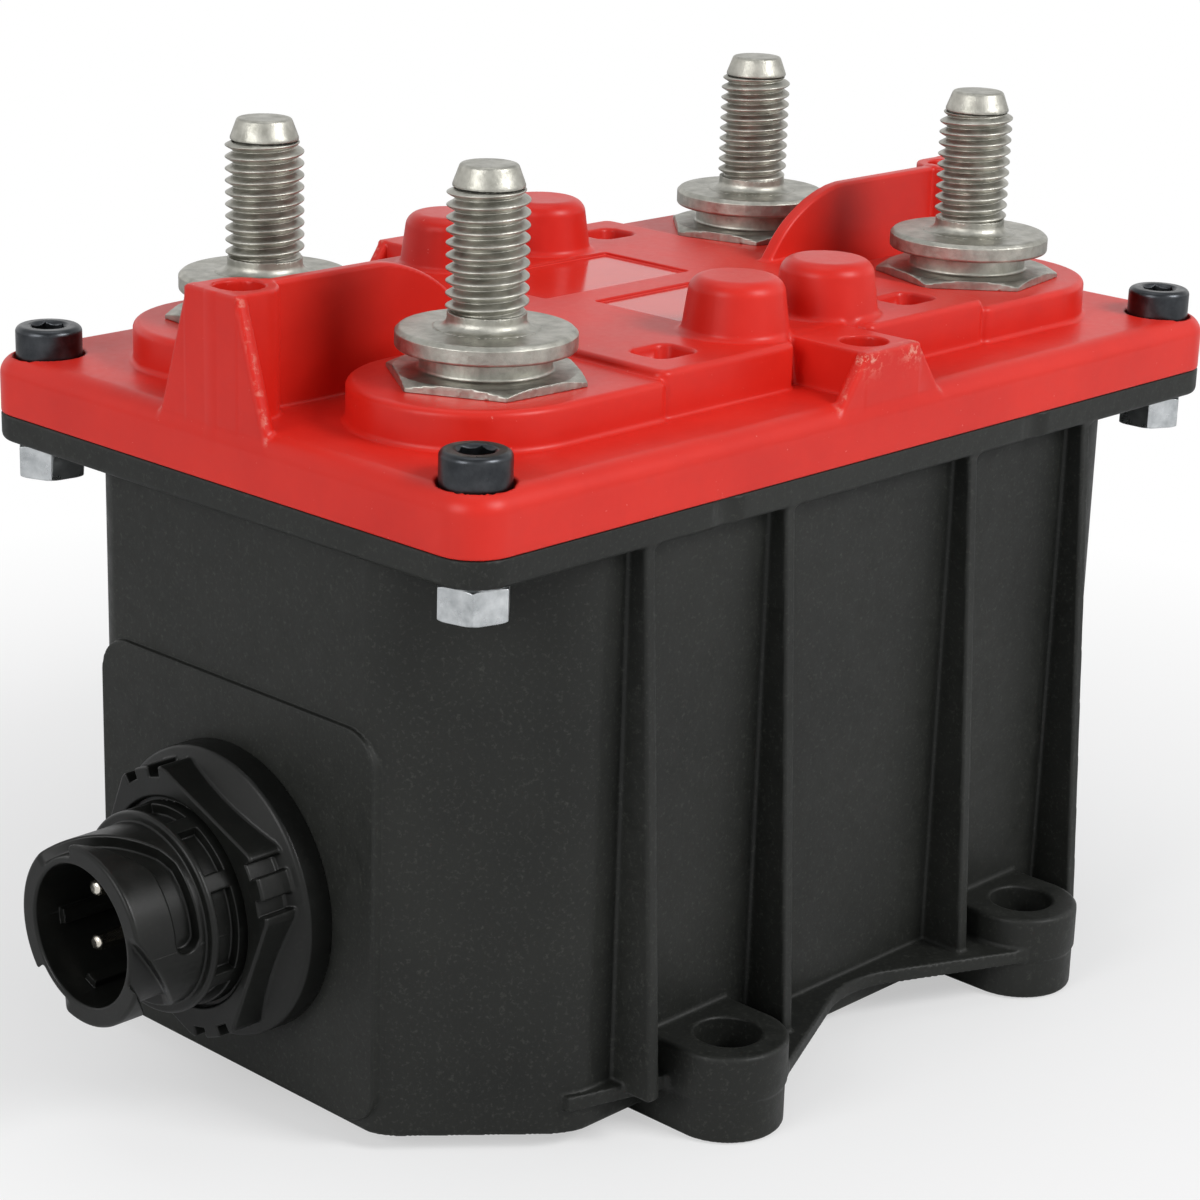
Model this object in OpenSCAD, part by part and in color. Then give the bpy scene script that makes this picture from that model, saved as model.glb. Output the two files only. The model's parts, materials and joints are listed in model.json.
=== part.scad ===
// Two pole battery disconnect switch with four M10 studs and a round control connector.
// X runs along the long side, the connector points to minus X, and Z is up.
// The origin is the centre of the four foot holes, in the plane that the feet stand on.

/* [Lid] */
// How far the lid and the housing flange stand out beyond the body along X
flange_out_x = 3.75; // [3.25:0.25:8]
// How far they stand out beyond the body along Y
flange_out_y = 3.25; // [3:0.25:6]
// Corner radius of the lid in plan
lid_corner_r = 5.4; // [4:0.2:6]
// Height of the lid's rim above the seam
rim_h = 7.5; // [7:0.25:9]
// Rounding of the lid's top edge
rim_edge_r = 2.2; // [1:0.1:2.6]
// Wall thickness of the lid's raised forms
lid_wall = 3; // [2.5:0.25:3.5]
// Height of the hollow under the lid's rim
lid_cavity_h = 4.5; // [4:0.25:5]
// Height of a stud pad above the rim
pad_h = 5; // [4:0.25:5.75]
// Radius of a stud pad's round end
pad_r = 15.2; // [13.5:0.1:15.5]
// How far a pad's round end lies outside its stud's axis
pad_shift = 2; // [0:0.25:3]
// Height of the central platform above the rim
platform_h = 6; // [5.25:0.25:7]
// Distance along X from a stud's axis to the central platform
platform_gap = 15; // [13.5:0.25:16]
// Width of the central platform
platform_w = 69.8; // [68:0.2:72]
// Width of the recess in the platform behind each low post
recess_w = 14; // [12.5:0.5:18]
// Depth of that recess
recess_depth = 3; // [2:0.25:3.5]

/* [Domes and panels] */
// Height of a dome above the platform
dome_h = 7.2; // [5:0.2:9]
// Diameter of a dome's top, over its rounded edge
dome_top_d = 12; // [10:0.2:12.6]
// Diameter of a dome at its foot
dome_base_d = 14; // [13:0.2:14.6]
// Rounding of a dome's top edge
dome_edge_r = 1.7; // [0.6:0.1:2]
// Spacing of the domes along X
dome_dx = 17.6; // [16:0.2:19]
// Spacing of the dome rows along Y
dome_dy = 52; // [50:0.5:54]
// Length of an oblong pocket
pocket_l = 6.8; // [5:0.2:7.6]
// Width of an oblong pocket
pocket_w = 5.6; // [4:0.2:6.4]
// Depth of an oblong pocket
pocket_depth = 2; // [1:0.25:2.25]
// Distance along X from the platform's end to a pocket's centre
pocket_inset = 8; // [7:0.25:9]
// Spacing of the pockets along Y
pocket_dy = 54.8; // [52:0.2:57]
// Length of the front shallow panel
front_panel_l = 20; // [12:1:24]
// Width of the front shallow panel
front_panel_w = 15; // [8:1:15]
// Length of the rear shallow panel
rear_panel_l = 28; // [16:1:34]
// Width of the rear shallow panel
rear_panel_w = 16; // [8:1:16]
// Gap between the two panels
panel_gap = 5; // [3:0.5:6]
// Depth of both panels
panel_depth = 0.4; // [0.2:0.1:0.8]

/* [Posts and barriers] */
// Height of the tall posts and barriers above the rim
barrier_h = 15.5; // [13:0.5:18]
// Thickness of a barrier wall
barrier_t = 2; // [1.6:0.1:3]
// Distance from the lid's centre to where the left barrier's top turns down
left_barrier_turn = 41.5; // [38:0.5:46]
// Distance from the lid's centre to where the right barrier's top turns down
right_barrier_turn = 37.5; // [35:0.5:42]
// Radius of the turn at a barrier's top
barrier_turn_r = 6; // [3:0.5:8]
// Width of a tall post at its top
tall_post_w = 9.3; // [8:0.1:11]
// Depth of a tall post
tall_post_depth = 9; // [8:0.25:10]
// Width of a low post at its top
low_post_w = 10.4; // [9:0.2:11.5]
// Depth of a low post
low_post_depth = 10; // [8:0.25:10.5]
// Extra width of a buttress at each side of its foot
buttress_spread = 5.4; // [3:0.2:7]
// Thickness of a buttress plate
buttress_t = 2; // [1.4:0.1:3]
// Step from the lid's side back to a post's outer face
post_inset = 0.4; // [0.2:0.1:1]
// Drop from the rim to a buttress foot, on the rounded edge
buttress_drop = 1.5; // [1:0.1:2]
// Diameter of a post's screw hole
post_hole_d = 6; // [4:0.2:6.4]
// Depth of a tall post's screw hole
post_hole_depth = 11; // [8:0.5:12]
// Depth of a low post's screw hole
low_hole_depth = 8; // [6:0.5:9]

/* [Housing] */
// Height of the seam between lid and housing above the feet
seam_z = 80; // [79:0.5:90]
// Length of the housing's body
body_l = 137.5; // [124:0.5:160]
// Width of the housing's body
body_w = 83.5; // [76:0.5:96]
// Length along X of a corner chamfer, as a share of the body's length
chamfer_x_share = 0.1236; // [0.11:0.0002:0.14]
// Length along Y of a corner chamfer, as a share of the body's width
chamfer_y_share = 0.1796; // [0.16:0.0002:0.2]
// Rounding of the body's upright edges
body_edge_r = 2.5; // [1:0.5:4]
// Wall thickness of the body
wall = 3; // [2.6:0.1:3.2]
// Thickness of the body's floor
floor_t = 4; // [3.5:0.25:5]
// Height of the body's underside above the feet
body_lift = 2; // [1:0.25:3]
// Thickness of the housing's flange
flange_t = 3.6; // [3:0.2:5]
// Distance from a corner chamfer to the outer rib beside it
outer_rib_gap = 8.45; // [7:0.05:10]
// Distance from the centre to the inner ribs
inner_rib_x = 18.3; // [17:0.2:20]
// Thickness of a rib
rib_t = 1.8; // [1.2:0.1:2.4]
// How far a rib stands out from the body at its top
rib_out_top = 2.65; // [1.5:0.05:3]
// How far a rib stands out from the body at its foot
rib_out_foot = 6.45; // [4:0.05:7]

/* [Feet] */
// Spacing of the foot holes along X
foot_dx = 61; // [60:0.5:64]
// Distance of the foot holes from the body's side
foot_out = 6.75; // [6.25:0.25:10]
// Diameter of a foot hole
foot_hole_d = 8.4; // [6.4:0.1:9]
// Diameter of a foot
foot_d = 15.4; // [14.5:0.1:16]
// Height of a foot
foot_h = 11.8; // [10:0.2:13]
// Height of the foot plate's top above the feet
plate_z = 7.4; // [6:0.2:8.5]
// Thickness of the foot plate
plate_t = 2; // [1.2:0.1:2.5]
// How far the foot plate stands out between the feet
plate_waist = 2.2; // [1:0.2:4]
// Length of the feet that lies under the body
foot_tail = 6; // [3:0.5:8]

/* [Studs] */
// Distance along X from the body's end to a stud's axis
stud_inset = 22.05; // [21:0.05:23]
// Spacing of the studs along Y
stud_dy = 40.2; // [39:0.2:42]
// Nominal diameter of the stud's thread
thread_d = 10; // [8:1:10]
// Length of the thread
thread_l = 15.4; // [12:0.1:20]
// Diameter of the plain neck under the thread
relief_d = 9.6; // [6:0.1:9.8]
// Height of that neck
relief_h = 1.25; // [0.5:0.25:2]
// Diameter of the stud's pointed end where it starts
tip_base_d = 8.6; // [5:0.1:9]
// Diameter of the stud's pointed end at its top
tip_top_d = 6.8; // [4:0.1:7]
// Height of the pointed end
tip_h = 2.75; // [2:0.25:5]
// Diameter of the stud's seat disc
disc_d = 21.8; // [20:0.2:24]
// Thickness of the seat disc
disc_t = 2.4; // [2:0.2:3.5]
// Chamfer of the seat disc's upper edge
disc_chamfer = 0.5; // [0.2:0.1:1]
// Diameter of the collar between disc and hexagon
collar_d = 15.9; // [14:0.1:19]
// Height of that collar
collar_h = 2.5; // [1:0.1:3.5]
// Width across flats of the stud's hexagon
stud_hex_af = 22; // [20:0.5:23]
// Thickness of the hexagon
stud_hex_t = 1.2; // [1:0.1:2.5]
// Diameter of the stud's shank below the hexagon
shank_d = 12; // [10:1:12]
// Depth of the seal groove in the pad
seal_seat_h = 1.6; // [1.2:0.1:2]
// Radial width of the seal round the shank
seal_w = 2; // [1.6:0.1:2.4]

/* [Fasteners] */
// Distance of a lid screw from both sides of its corner of the lid
screw_inset = 6; // [5.5:0.25:6.5]
// Nominal diameter of the lid screws
screw_d = 5; // [4:1:5]
// Diameter of a lid screw's head
screw_head_d = 8.4; // [7:0.1:8.6]
// Height of a lid screw's head
screw_head_h = 5; // [4:0.25:5.5]
// Width across flats of the socket in the head
socket_af = 4; // [3:0.5:4.5]
// Depth of that socket
socket_depth = 2.6; // [2:0.2:3]
// Depth of the counterbore under the head
counterbore_h = 1.4; // [1:0.1:2]
// Width across flats of a lid nut
nut_af = 8; // [7:0.5:8.5]
// Height of a lid nut
nut_h = 4.2; // [3:0.1:5]
// Thickness of the washer over a lid nut
nut_washer_t = 0.5; // [0.3:0.1:1]
// Diameter of the washer over a lid nut
nut_washer_d = 8.4; // [7.5:0.1:9]

/* [Connector] */
// Height of the connector's axis above the feet
connector_z = 27.6; // [26.5:0.2:29]
// Diameter of the connector's thread through the wall
connector_thread_d = 27; // [25:0.5:27]
// How far the connector's mouth stands out from the body
connector_reach = 24.2; // [22:0.2:27]
// Outer diameter of the connector's shell
shell_d = 22.8; // [21:0.2:23.4]
// Inner diameter of the connector's shell
shell_bore_d = 17.7; // [16:0.1:18]
// Depth of the socket inside the shell
socket_bore_depth = 14; // [10:0.5:16]
// Diameter of the plain barrel behind the shell
barrel_d = 25.4; // [24:0.2:26.4]
// Length of that barrel beyond the nut
barrel_l = 4; // [3:0.25:6]
// Diameter of the ring nut's round flange
ring_flange_d = 37.2; // [36:0.2:38]
// Thickness of that flange
ring_flange_t = 3.6; // [3:0.2:4.5]
// Diameter over the ring nut's round corners
ring_nut_d = 34.1; // [33:0.1:35]
// Width across the ring nut's flats
ring_nut_af = 29.6; // [29:0.1:31]
// Thickness of the ring nut with its flange
ring_nut_t = 9; // [8:0.2:10]
// Diameter of the connector's inner flange
inner_flange_d = 34; // [33:0.5:36]
// Thickness of the connector's inner flange
inner_flange_t = 2.5; // [2:0.25:4]
// Height of the raised pad on the wall round the connector
wall_pad_t = 0.6; // [0.4:0.1:1]
// Distance from the raised pad to the corner chamfers beside it
wall_pad_gap = 0.95; // [0.5:0.05:3]
// Height of the raised pad's top above the feet
wall_pad_top = 54; // [50:0.5:58]
// Height of the raised pad's foot above the feet
wall_pad_foot = 3; // [2.5:0.25:5]
// Corner radius of the raised pad
wall_pad_r = 5; // [3:0.5:6]
// Diameter of a contact pin
pin_d = 2.2; // [1.6:0.1:2.4]
// Spacing of the contact pins along Y and Z
pin_spacing = 7.2; // [7:0.1:7.6]
// How far the pins' ends lie behind the shell's mouth
pin_setback = 4.8; // [4:0.2:6]

/* [Contacts] */
// Thickness of a fixed contact bar
bar_t = 3; // [2:0.25:4]
// Width of a fixed contact bar
bar_w = 16; // [14.5:0.5:18]
// Length of a fixed contact bar outside its stud
bar_outer = 9; // [8:0.5:10]
// Length of a fixed contact bar inside its stud
bar_inner = 27; // [25:0.5:28]
// Diameter of a contact tip
tip_d = 8; // [6:0.5:9]
// Thickness of a contact tip
tip_t = 1.5; // [1:0.1:2]
// Gap between the open contact tips
contact_gap = 4; // [3:0.1:4.4]
// Gap left between the closed contact tips
closed_gap = 0.1; // [0.05:0.05:0.3]
// Width of a contact bridge
bridge_w = 12; // [10:0.5:13]
// Thickness of a contact bridge
bridge_t = 2.5; // [2:0.25:3]
// Length of the bridge beyond its tips' centres
bridge_over = 5; // [4.75:0.25:6]
// Outer diameter of a contact spring
contact_spring_d = 9; // [7:0.5:10]
// Thickness of the spring wire
spring_wire = 1.2; // [0.8:0.1:1.5]
// Length of a contact spring
contact_spring_l = 9.5; // [8:0.25:10.5]
// Width of the carrier along X
carrier_x = 14; // [12:0.5:16]
// Thickness of the carrier's floor
carrier_floor = 4; // [3:0.25:4.5]
// Thickness of the carrier's legs and top bars
carrier_leg = 3; // [2.5:0.25:3.5]

/* [Lock nuts] */
// Width across flats of a lock nut under the lid
lock_nut_af = 18; // [16:0.5:19]
// Height of a lock nut
lock_nut_h = 6; // [5:0.25:7]
// Diameter of the washer at a lock nut
lock_washer_d = 20; // [18:0.5:21]
// Thickness of that washer
lock_washer_t = 1.5; // [1:0.1:2]

/* [Solenoid] */
// Thickness of the yoke's foot and of its top plate
yoke_t = 3; // [2.5:0.25:3.5]
// Thickness of the yoke's legs
yoke_leg = 5; // [4.5:0.25:6]
// Width of the yoke along Y
yoke_w = 30; // [28:0.5:32]
// Length of the yoke's foot along Y
yoke_foot_w = 48; // [46:0.5:52]
// Length of the coil's bobbin
bobbin_l = 39; // [36:0.5:40]
// Diameter of the bobbin's flanges
bobbin_d = 40; // [38:0.5:42]
// Thickness of the bobbin's flanges and tube
bobbin_t = 1.5; // [1.2:0.1:2]
// Diameter of the plunger and of the pole core
plunger_d = 18; // [16:0.5:19]
// Length of the plunger
plunger_l = 22; // [20:0.5:24]
// Thickness of the rubber bumper under the plunger
bumper_t = 2; // [1.5:0.25:3]
// Thickness of the latching magnet
magnet_t = 4; // [3:0.25:5]
// Outer diameter of the latching magnet
magnet_d = 36; // [32:0.5:38]
// Diameter of the push rod
rod_d = 6; // [5:0.25:6.5]
// Outer diameter of the return spring
return_spring_d = 11; // [10:0.25:11.5]
// Depth of the spring's pocket in the plunger
plunger_pocket = 9; // [8:0.5:10]
// Depth of the spring's pocket in the pole core
core_pocket = 6; // [5:0.5:8]
// Diameter of the carrier's guide pins
guide_d = 4; // [3:0.25:4.5]
// Distance from the rod's axis to a guide pin
guide_x = 13.5; // [12:0.25:14]
// Height of the carrier's floor above the top plate at rest
carrier_lift = 3.5; // [3:0.25:4]

/* [Auxiliary switch] */
// Width of the auxiliary switch
aux_x = 6.4; // [6:0.2:8]
// Length of the auxiliary switch
aux_y = 20; // [19:0.5:22]
// Height of the auxiliary switch
aux_z = 10; // [9:0.5:12]
// Thickness of the lever's blade
lever_t = 0.6; // [0.4:0.1:0.8]
// Diameter of the lever's eye
lever_eye_d = 2.8; // [2.4:0.1:3]
// Diameter of the lever's pivot pin
lever_pin_d = 1.4; // [1:0.1:1.6]
// Distance from the pivot to the button
button_arm = 6; // [5:0.25:7]
// Distance from the pivot to where the carrier holds the lever
lever_arm = 20; // [19:0.25:21]
// Diameter of the button
button_d = 2.4; // [2:0.1:2.6]
// Length of the button
button_l = 5; // [4:0.25:6]

/* [Circuit board] */
// Thickness of the circuit board
board_t = 1.6; // [1.2:0.1:2]
// Distance from the body's side to the circuit board
board_side = 13.75; // [13:0.25:15]
// Height of the circuit board
board_h = 44; // [42:0.5:46]
// Gap between the wall and the circuit board
board_gap = 9; // [8:0.5:11]
// Diameter of the board's stand-offs
standoff_d = 6; // [5:0.25:7]
// Diameter of a wire inside the housing
wire_d = 1.6; // [1.2:0.1:2]

/* [Hidden] */
$fn = 64;
hull_fn = 32;
cut = 1;
// Clearances: parts that slide, parts that are assembled, soft parts, and flat neighbours
slide_gap = 0.08;
fit_gap = 0.1;
soft_gap = 0.25;
free_gap = 0.3;

// Plan sizes that several pieces share
lid_l = body_l + 2 * flange_out_x;
lid_w = body_w + 2 * flange_out_y;
chamfer_x = body_l * chamfer_x_share;
chamfer_y = body_w * chamfer_y_share;
corner_x = body_l / 2 - chamfer_x;
stud_dx = body_l - 2 * stud_inset;
stud_x = stud_dx / 2;
stud_y = stud_dy / 2;
screw_dx = lid_l - 2 * screw_inset;
screw_dy = lid_w - 2 * screw_inset;
platform_l = stud_dx - 2 * platform_gap;
pocket_dx = platform_l - 2 * pocket_inset;
outer_rib_x = corner_x - outer_rib_gap;
foot_x = foot_dx / 2;
foot_y = body_w / 2 + foot_out;
wall_pad_w = body_w - 2 * chamfer_y - 2 * wall_pad_gap;
board_w = body_w - 2 * board_side;

// Heights that several pieces share
rim_z = seam_z + rim_h;
pad_z = rim_z + pad_h;
platform_z = rim_z + platform_h;
barrier_z = rim_z + barrier_h;
ceiling_z = seam_z + lid_cavity_h;
floor_z = body_lift + floor_t;
body_h = seam_z - body_lift;

// Contact stack, from the lid down
bar_z = ceiling_z - bar_t;
fixed_tip_z = bar_z - tip_t;
bridge_top_z = fixed_tip_z - contact_gap - tip_t;
bridge_z = bridge_top_z - bridge_t;
tip_share = 0.82;
tip_x = stud_x - bar_inner * tip_share;
bridge_l = 2 * (tip_x + bridge_over);
carrier_top_z = bridge_top_z + carrier_leg;
carrier_z = bridge_z - contact_spring_l - carrier_floor;
carrier_half_y = stud_y + bridge_w / 2 + free_gap + carrier_leg;
lug_wall = 2;
lug_r = guide_d / 2 + lug_wall;
close_travel = contact_gap - closed_gap;

// Solenoid stack, from the floor up
yoke_top_z = carrier_z - carrier_lift;
top_plate_z = yoke_top_z - yoke_t;
magnet_z = top_plate_z - magnet_t;
bobbin_z = magnet_z - bobbin_l;
yoke_foot_z = bobbin_z - yoke_t;
plunger_z = bobbin_z + bumper_t;
plunger_top_z = plunger_z + plunger_l;
air_gap = 0.2;
core_z = plunger_top_z + close_travel + air_gap;
bobbin_bore_d = plunger_d + 4 * fit_gap;
yoke_leg_x = bobbin_d / 2 + soft_gap;
yoke_half_x = yoke_leg_x + yoke_leg;
m3_r = 1.5;
m3_head_r = 2.75;
m3_head_h = 2;
m4_r = 2;
m4_head_r = 3.5;
m4_head_h = 2.6;
yoke_screw_l = 7;
yoke_screw_y = yoke_w / 2 - m3_head_r - free_gap;
yoke_screw_x = yoke_leg_x + yoke_leg / 2;
floor_screw_x = yoke_half_x - m4_head_r - free_gap;
floor_screw_y = yoke_foot_w / 2 - m4_head_r - free_gap;
floor_screw_bite = 3;

// Auxiliary switch, beside the right leg of the yoke
aux_left = yoke_half_x;
aux_mid_x = aux_left + aux_x / 2;
aux_ear = 1.2;
lever_w = aux_x - 2 * aux_ear - 2 * fit_gap;
lever_pivot_z = carrier_z - free_gap - lever_t / 2;
aux_top_z = lever_pivot_z - lever_eye_d / 2 - fit_gap;
aux_base_z = aux_top_z - aux_z;
pivot_inset = 2.2;
lever_pivot_y = pivot_inset - aux_y / 2;
button_y = lever_pivot_y + button_arm;
lever_end_y = lever_pivot_y + lever_arm;
tab_w = 4;
aux_screw_r = 1.1;
aux_screw_share = 0.3;
aux_screw_drop = 7;

// Connector, along the left wall
wall_x = body_l / 2;
wall_in_x = wall_x - wall;
pad_x = wall_x + wall_pad_t;
mouth_x = wall_x + connector_reach;
ring_front_x = pad_x + ring_nut_t;
barrel_x = ring_front_x + barrel_l;
bore_end_x = mouth_x - socket_bore_depth;
inner_face_x = wall_in_x - inner_flange_t;
connector_back = 4;
board_x = wall_in_x - board_gap;
board_back_x = board_x - board_t;
pin_tail = 1.5;
board_z = connector_z - board_h / 2 + 2 * floor_t;
board_screw_y = board_w / 2 - standoff_d / 2;
board_screw_share = 0.62;
board_screw_z = board_z + board_h * board_screw_share;
seal_t = 1.8;
seal_depth = 1;

// Gasket in its groove, round the body's top
gasket_w = 2.2;
gasket_h = 1.6;
gasket_squash = 0.2;
gasket_out = 0.6;

plastic_red = [0.83, 0.19, 0.16];
plastic_black = [0.16, 0.17, 0.17];
nickel = [0.62, 0.6, 0.56];
zinc = [0.75, 0.76, 0.77];
black_oxide = [0.12, 0.12, 0.13];
copper = [0.72, 0.42, 0.27];
silver = [0.8, 0.8, 0.82];
steel = [0.5, 0.51, 0.53];
rubber = [0.08, 0.08, 0.08];
amber = [0.75, 0.6, 0.35];
winding_red = [0.6, 0.25, 0.15];
board_green = [0.1, 0.35, 0.2];

// Radius of a hexagon's corners, from its width across flats
function hex_r(af) = af / 2 / cos(30);

// Legs of a corner chamfer after the outline is set in by d
function inset_share(d) =
    let (l = sqrt(chamfer_x * chamfer_x + chamfer_y * chamfer_y))
    let (h = chamfer_x * chamfer_y / l)
    (h + d - d * (chamfer_x + chamfer_y) / l) / h;

// Plan of the body, set in by d, as eight corners
function body_plan(d) =
    let (x = body_l / 2 - d, y = body_w / 2 - d)
    let (cx = chamfer_x * inset_share(d), cy = chamfer_y * inset_share(d))
    [[x, y - cy], [x - cx, y], [cx - x, y], [-x, y - cy],
     [-x, cy - y], [cx - x, -y], [x - cx, -y], [x, cy - y]];

module rounded_plan(plan, r) {
    hull() {
        for (p = plan) translate(p) circle(r, $fn = hull_fn);
    }
}

module rounded_rect(l, w, r) {
    hull() {
        for (x = [r - l / 2, l / 2 - r], y = [r - w / 2, w / 2 - r])
            translate([x, y]) circle(r, $fn = hull_fn);
    }
}

module four(dx, dy) {
    for (x = [-dx / 2, dx / 2], y = [-dy / 2, dy / 2]) translate([x, y, 0]) children();
}

module ring(r_out, r_in, h) {
    difference() {
        cylinder(h = h, r = r_out);
        translate([0, 0, -cut]) cylinder(h = h + 2 * cut, r = r_in);
    }
}

module hex(af, h) {
    cylinder(h = h, r = hex_r(af), $fn = 6);
}

// Turns a shape built along Z so that it points to minus X, on the connector's axis
module along_connector(x) {
    translate([-x, 0, connector_z]) rotate([0, -90, 0]) children();
}

// Straight runs with ball joints, for stiff wires
module wire(points) {
    for (i = [0 : len(points) - 2]) {
        run = points[i + 1] - points[i];
        length = norm(run);
        translate(points[i])
            rotate([0, acos(run[2] / length), atan2(run[1], run[0])])
                cylinder(h = length, d = wire_d, $fn = hull_fn);
        if (i > 0) translate(points[i]) sphere(d = wire_d, $fn = hull_fn);
    }
}

// Outline of the foot plate between the feet, a straight run off each foot and a round waist
waist_in = 2;
waist_angle = 23.4;
waist_r_share = 0.25;
waist_steps = 8;
foot_leave = -44;
foot_meet = 200;
function foot_point(sx, a) = [sx * foot_x + sx * foot_d / 2 * cos(a), foot_d / 2 * sin(a) - foot_y];

module foot_plate_plan() {
    waist_r = foot_dx * waist_r_share;
    waist_y = -body_w / 2 - plate_waist - waist_r;
    polygon(concat(
        [[-corner_x, waist_in - body_w / 2], [-corner_x, -body_w / 2]],
        [foot_point(-1, 180 - foot_meet), [-foot_x, -foot_y], foot_point(-1, 180 - foot_leave)],
        [for (i = [-waist_steps : waist_steps]) let (a = waist_angle * i / waist_steps)
            [waist_r * sin(a), waist_y + waist_r * cos(a)]],
        [foot_point(1, 180 - foot_leave), [foot_x, -foot_y], foot_point(1, 180 - foot_meet)],
        [[corner_x, -body_w / 2], [corner_x, waist_in - body_w / 2]]));
}

// One rib, drawn for the front side
module rib(x) {
    translate([x + rib_t / 2, 0, 0]) rotate([0, -90, 0]) linear_extrude(rib_t)
        polygon([[plate_z - plate_t / 2, waist_in - body_w / 2],
                 [seam_z - flange_t / 2, waist_in - body_w / 2],
                 [seam_z - flange_t / 2, -body_w / 2 - rib_out_top],
                 [plate_z - plate_t / 2, -body_w / 2 - rib_out_foot]]);
}

module housing_side() {
    translate([0, 0, plate_z - plate_t]) linear_extrude(plate_t) foot_plate_plan();
    for (x = [-outer_rib_x, -inner_rib_x, inner_rib_x, outer_rib_x]) rib(x);
    for (x = [-foot_x, foot_x]) {
        translate([x, -foot_y, 0]) cylinder(h = foot_h, d = foot_d);
        translate([x - foot_d / 2, -foot_y, 0]) cube([foot_d, foot_y - body_w / 2 + foot_tail, foot_h]);
    }
}

module raised_wall_pad() {
    translate([-wall_x - wall_pad_t, 0, 0]) rotate([90, 0, 90]) linear_extrude(wall_pad_t + wall / 2)
        translate([0, (wall_pad_top + wall_pad_foot) / 2])
            rounded_rect(wall_pad_w, wall_pad_top - wall_pad_foot, wall_pad_r);
}

module standoffs(length, d) {
    for (y = [-board_screw_y, board_screw_y])
        translate([-wall_in_x - slide_gap, y, board_screw_z])
            rotate([0, 90, 0]) cylinder(h = length + slide_gap, d = d);
}

standoff_hole_d = 2.6;
module housing() {
    color(plastic_black) difference() {
        union() {
            translate([0, 0, body_lift]) linear_extrude(body_h)
                rounded_plan(body_plan(body_edge_r), body_edge_r);
            translate([0, 0, seam_z - flange_t]) linear_extrude(flange_t)
                rounded_rect(lid_l, lid_w, lid_corner_r);
            housing_side();
            mirror([0, 1, 0]) housing_side();
            raised_wall_pad();
        }
        difference() {
            translate([0, 0, floor_z]) linear_extrude(body_h) polygon(body_plan(wall));
            standoffs(board_gap, standoff_d);
            four(2 * floor_screw_x, 2 * floor_screw_y)
                cylinder(h = yoke_foot_z, r = m4_head_r);
        }
        standoffs(board_gap + cut, standoff_hole_d);
        four(2 * floor_screw_x, 2 * floor_screw_y) translate([0, 0, yoke_foot_z - floor_screw_bite])
            cylinder(h = floor_screw_bite + cut, r = m4_r + slide_gap);
        four(foot_dx, 2 * foot_y) translate([0, 0, -cut]) cylinder(h = foot_h + 2 * cut, d = foot_hole_d);
        four(screw_dx, screw_dy) translate([0, 0, seam_z - flange_t - cut])
            cylinder(h = flange_t + 2 * cut, d = screw_d + 2 * fit_gap);
        along_connector(wall_in_x - cut)
            cylinder(h = wall + wall_pad_t + 2 * cut, d = connector_thread_d + 2 * fit_gap);
        translate([0, 0, seam_z - gasket_h + gasket_squash]) linear_extrude(gasket_h + cut) difference() {
            polygon(body_plan(-gasket_out));
            polygon(body_plan(gasket_w - gasket_out));
        }
    }
}

module lid_gasket() {
    color(rubber) translate([0, 0, seam_z - gasket_h + gasket_squash])
        linear_extrude(gasket_h - gasket_squash) difference() {
            polygon(body_plan(fit_gap - gasket_out));
            polygon(body_plan(gasket_w - gasket_out - fit_gap));
        }
}

module lid_rim() {
    hull() {
        for (x = [lid_corner_r - lid_l / 2, lid_l / 2 - lid_corner_r],
             y = [lid_corner_r - lid_w / 2, lid_w / 2 - lid_corner_r]) {
            translate([x, y, seam_z]) cylinder(h = rim_h - rim_edge_r, r = lid_corner_r, $fn = hull_fn);
            translate([x, y, rim_z - rim_edge_r]) rotate_extrude($fn = hull_fn) intersection() {
                union() {
                    translate([lid_corner_r - rim_edge_r, 0]) circle(rim_edge_r, $fn = hull_fn);
                    square([lid_corner_r - rim_edge_r, rim_edge_r]);
                }
                square([lid_corner_r, rim_edge_r]);
            }
        }
    }
}

module stud_pad() {
    translate([stud_x + pad_shift, stud_y, rim_z - rim_edge_r]) cylinder(h = pad_h + rim_edge_r, r = pad_r);
    translate([platform_l / 2 - lid_wall, stud_y - pad_r, rim_z - rim_edge_r])
        cube([stud_x + pad_shift - platform_l / 2 + lid_wall, 2 * pad_r, pad_h + rim_edge_r]);
}

module platform() {
    translate([0, 0, rim_z - rim_edge_r]) linear_extrude(platform_h + rim_edge_r) difference() {
        square([platform_l, platform_w], center = true);
        for (s = [-1, 1]) translate([0, s * platform_w / 2])
            square([recess_w, 2 * recess_depth], center = true);
    }
}

module dome() {
    cylinder(h = dome_h - dome_edge_r, d1 = dome_base_d, d2 = dome_top_d);
    translate([0, 0, dome_h - dome_edge_r]) rotate_extrude() intersection() {
        union() {
            translate([dome_top_d / 2 - dome_edge_r, 0]) circle(dome_edge_r);
            square([dome_top_d / 2 - dome_edge_r, dome_edge_r]);
        }
        square([dome_top_d / 2, dome_edge_r]);
    }
}

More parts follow.
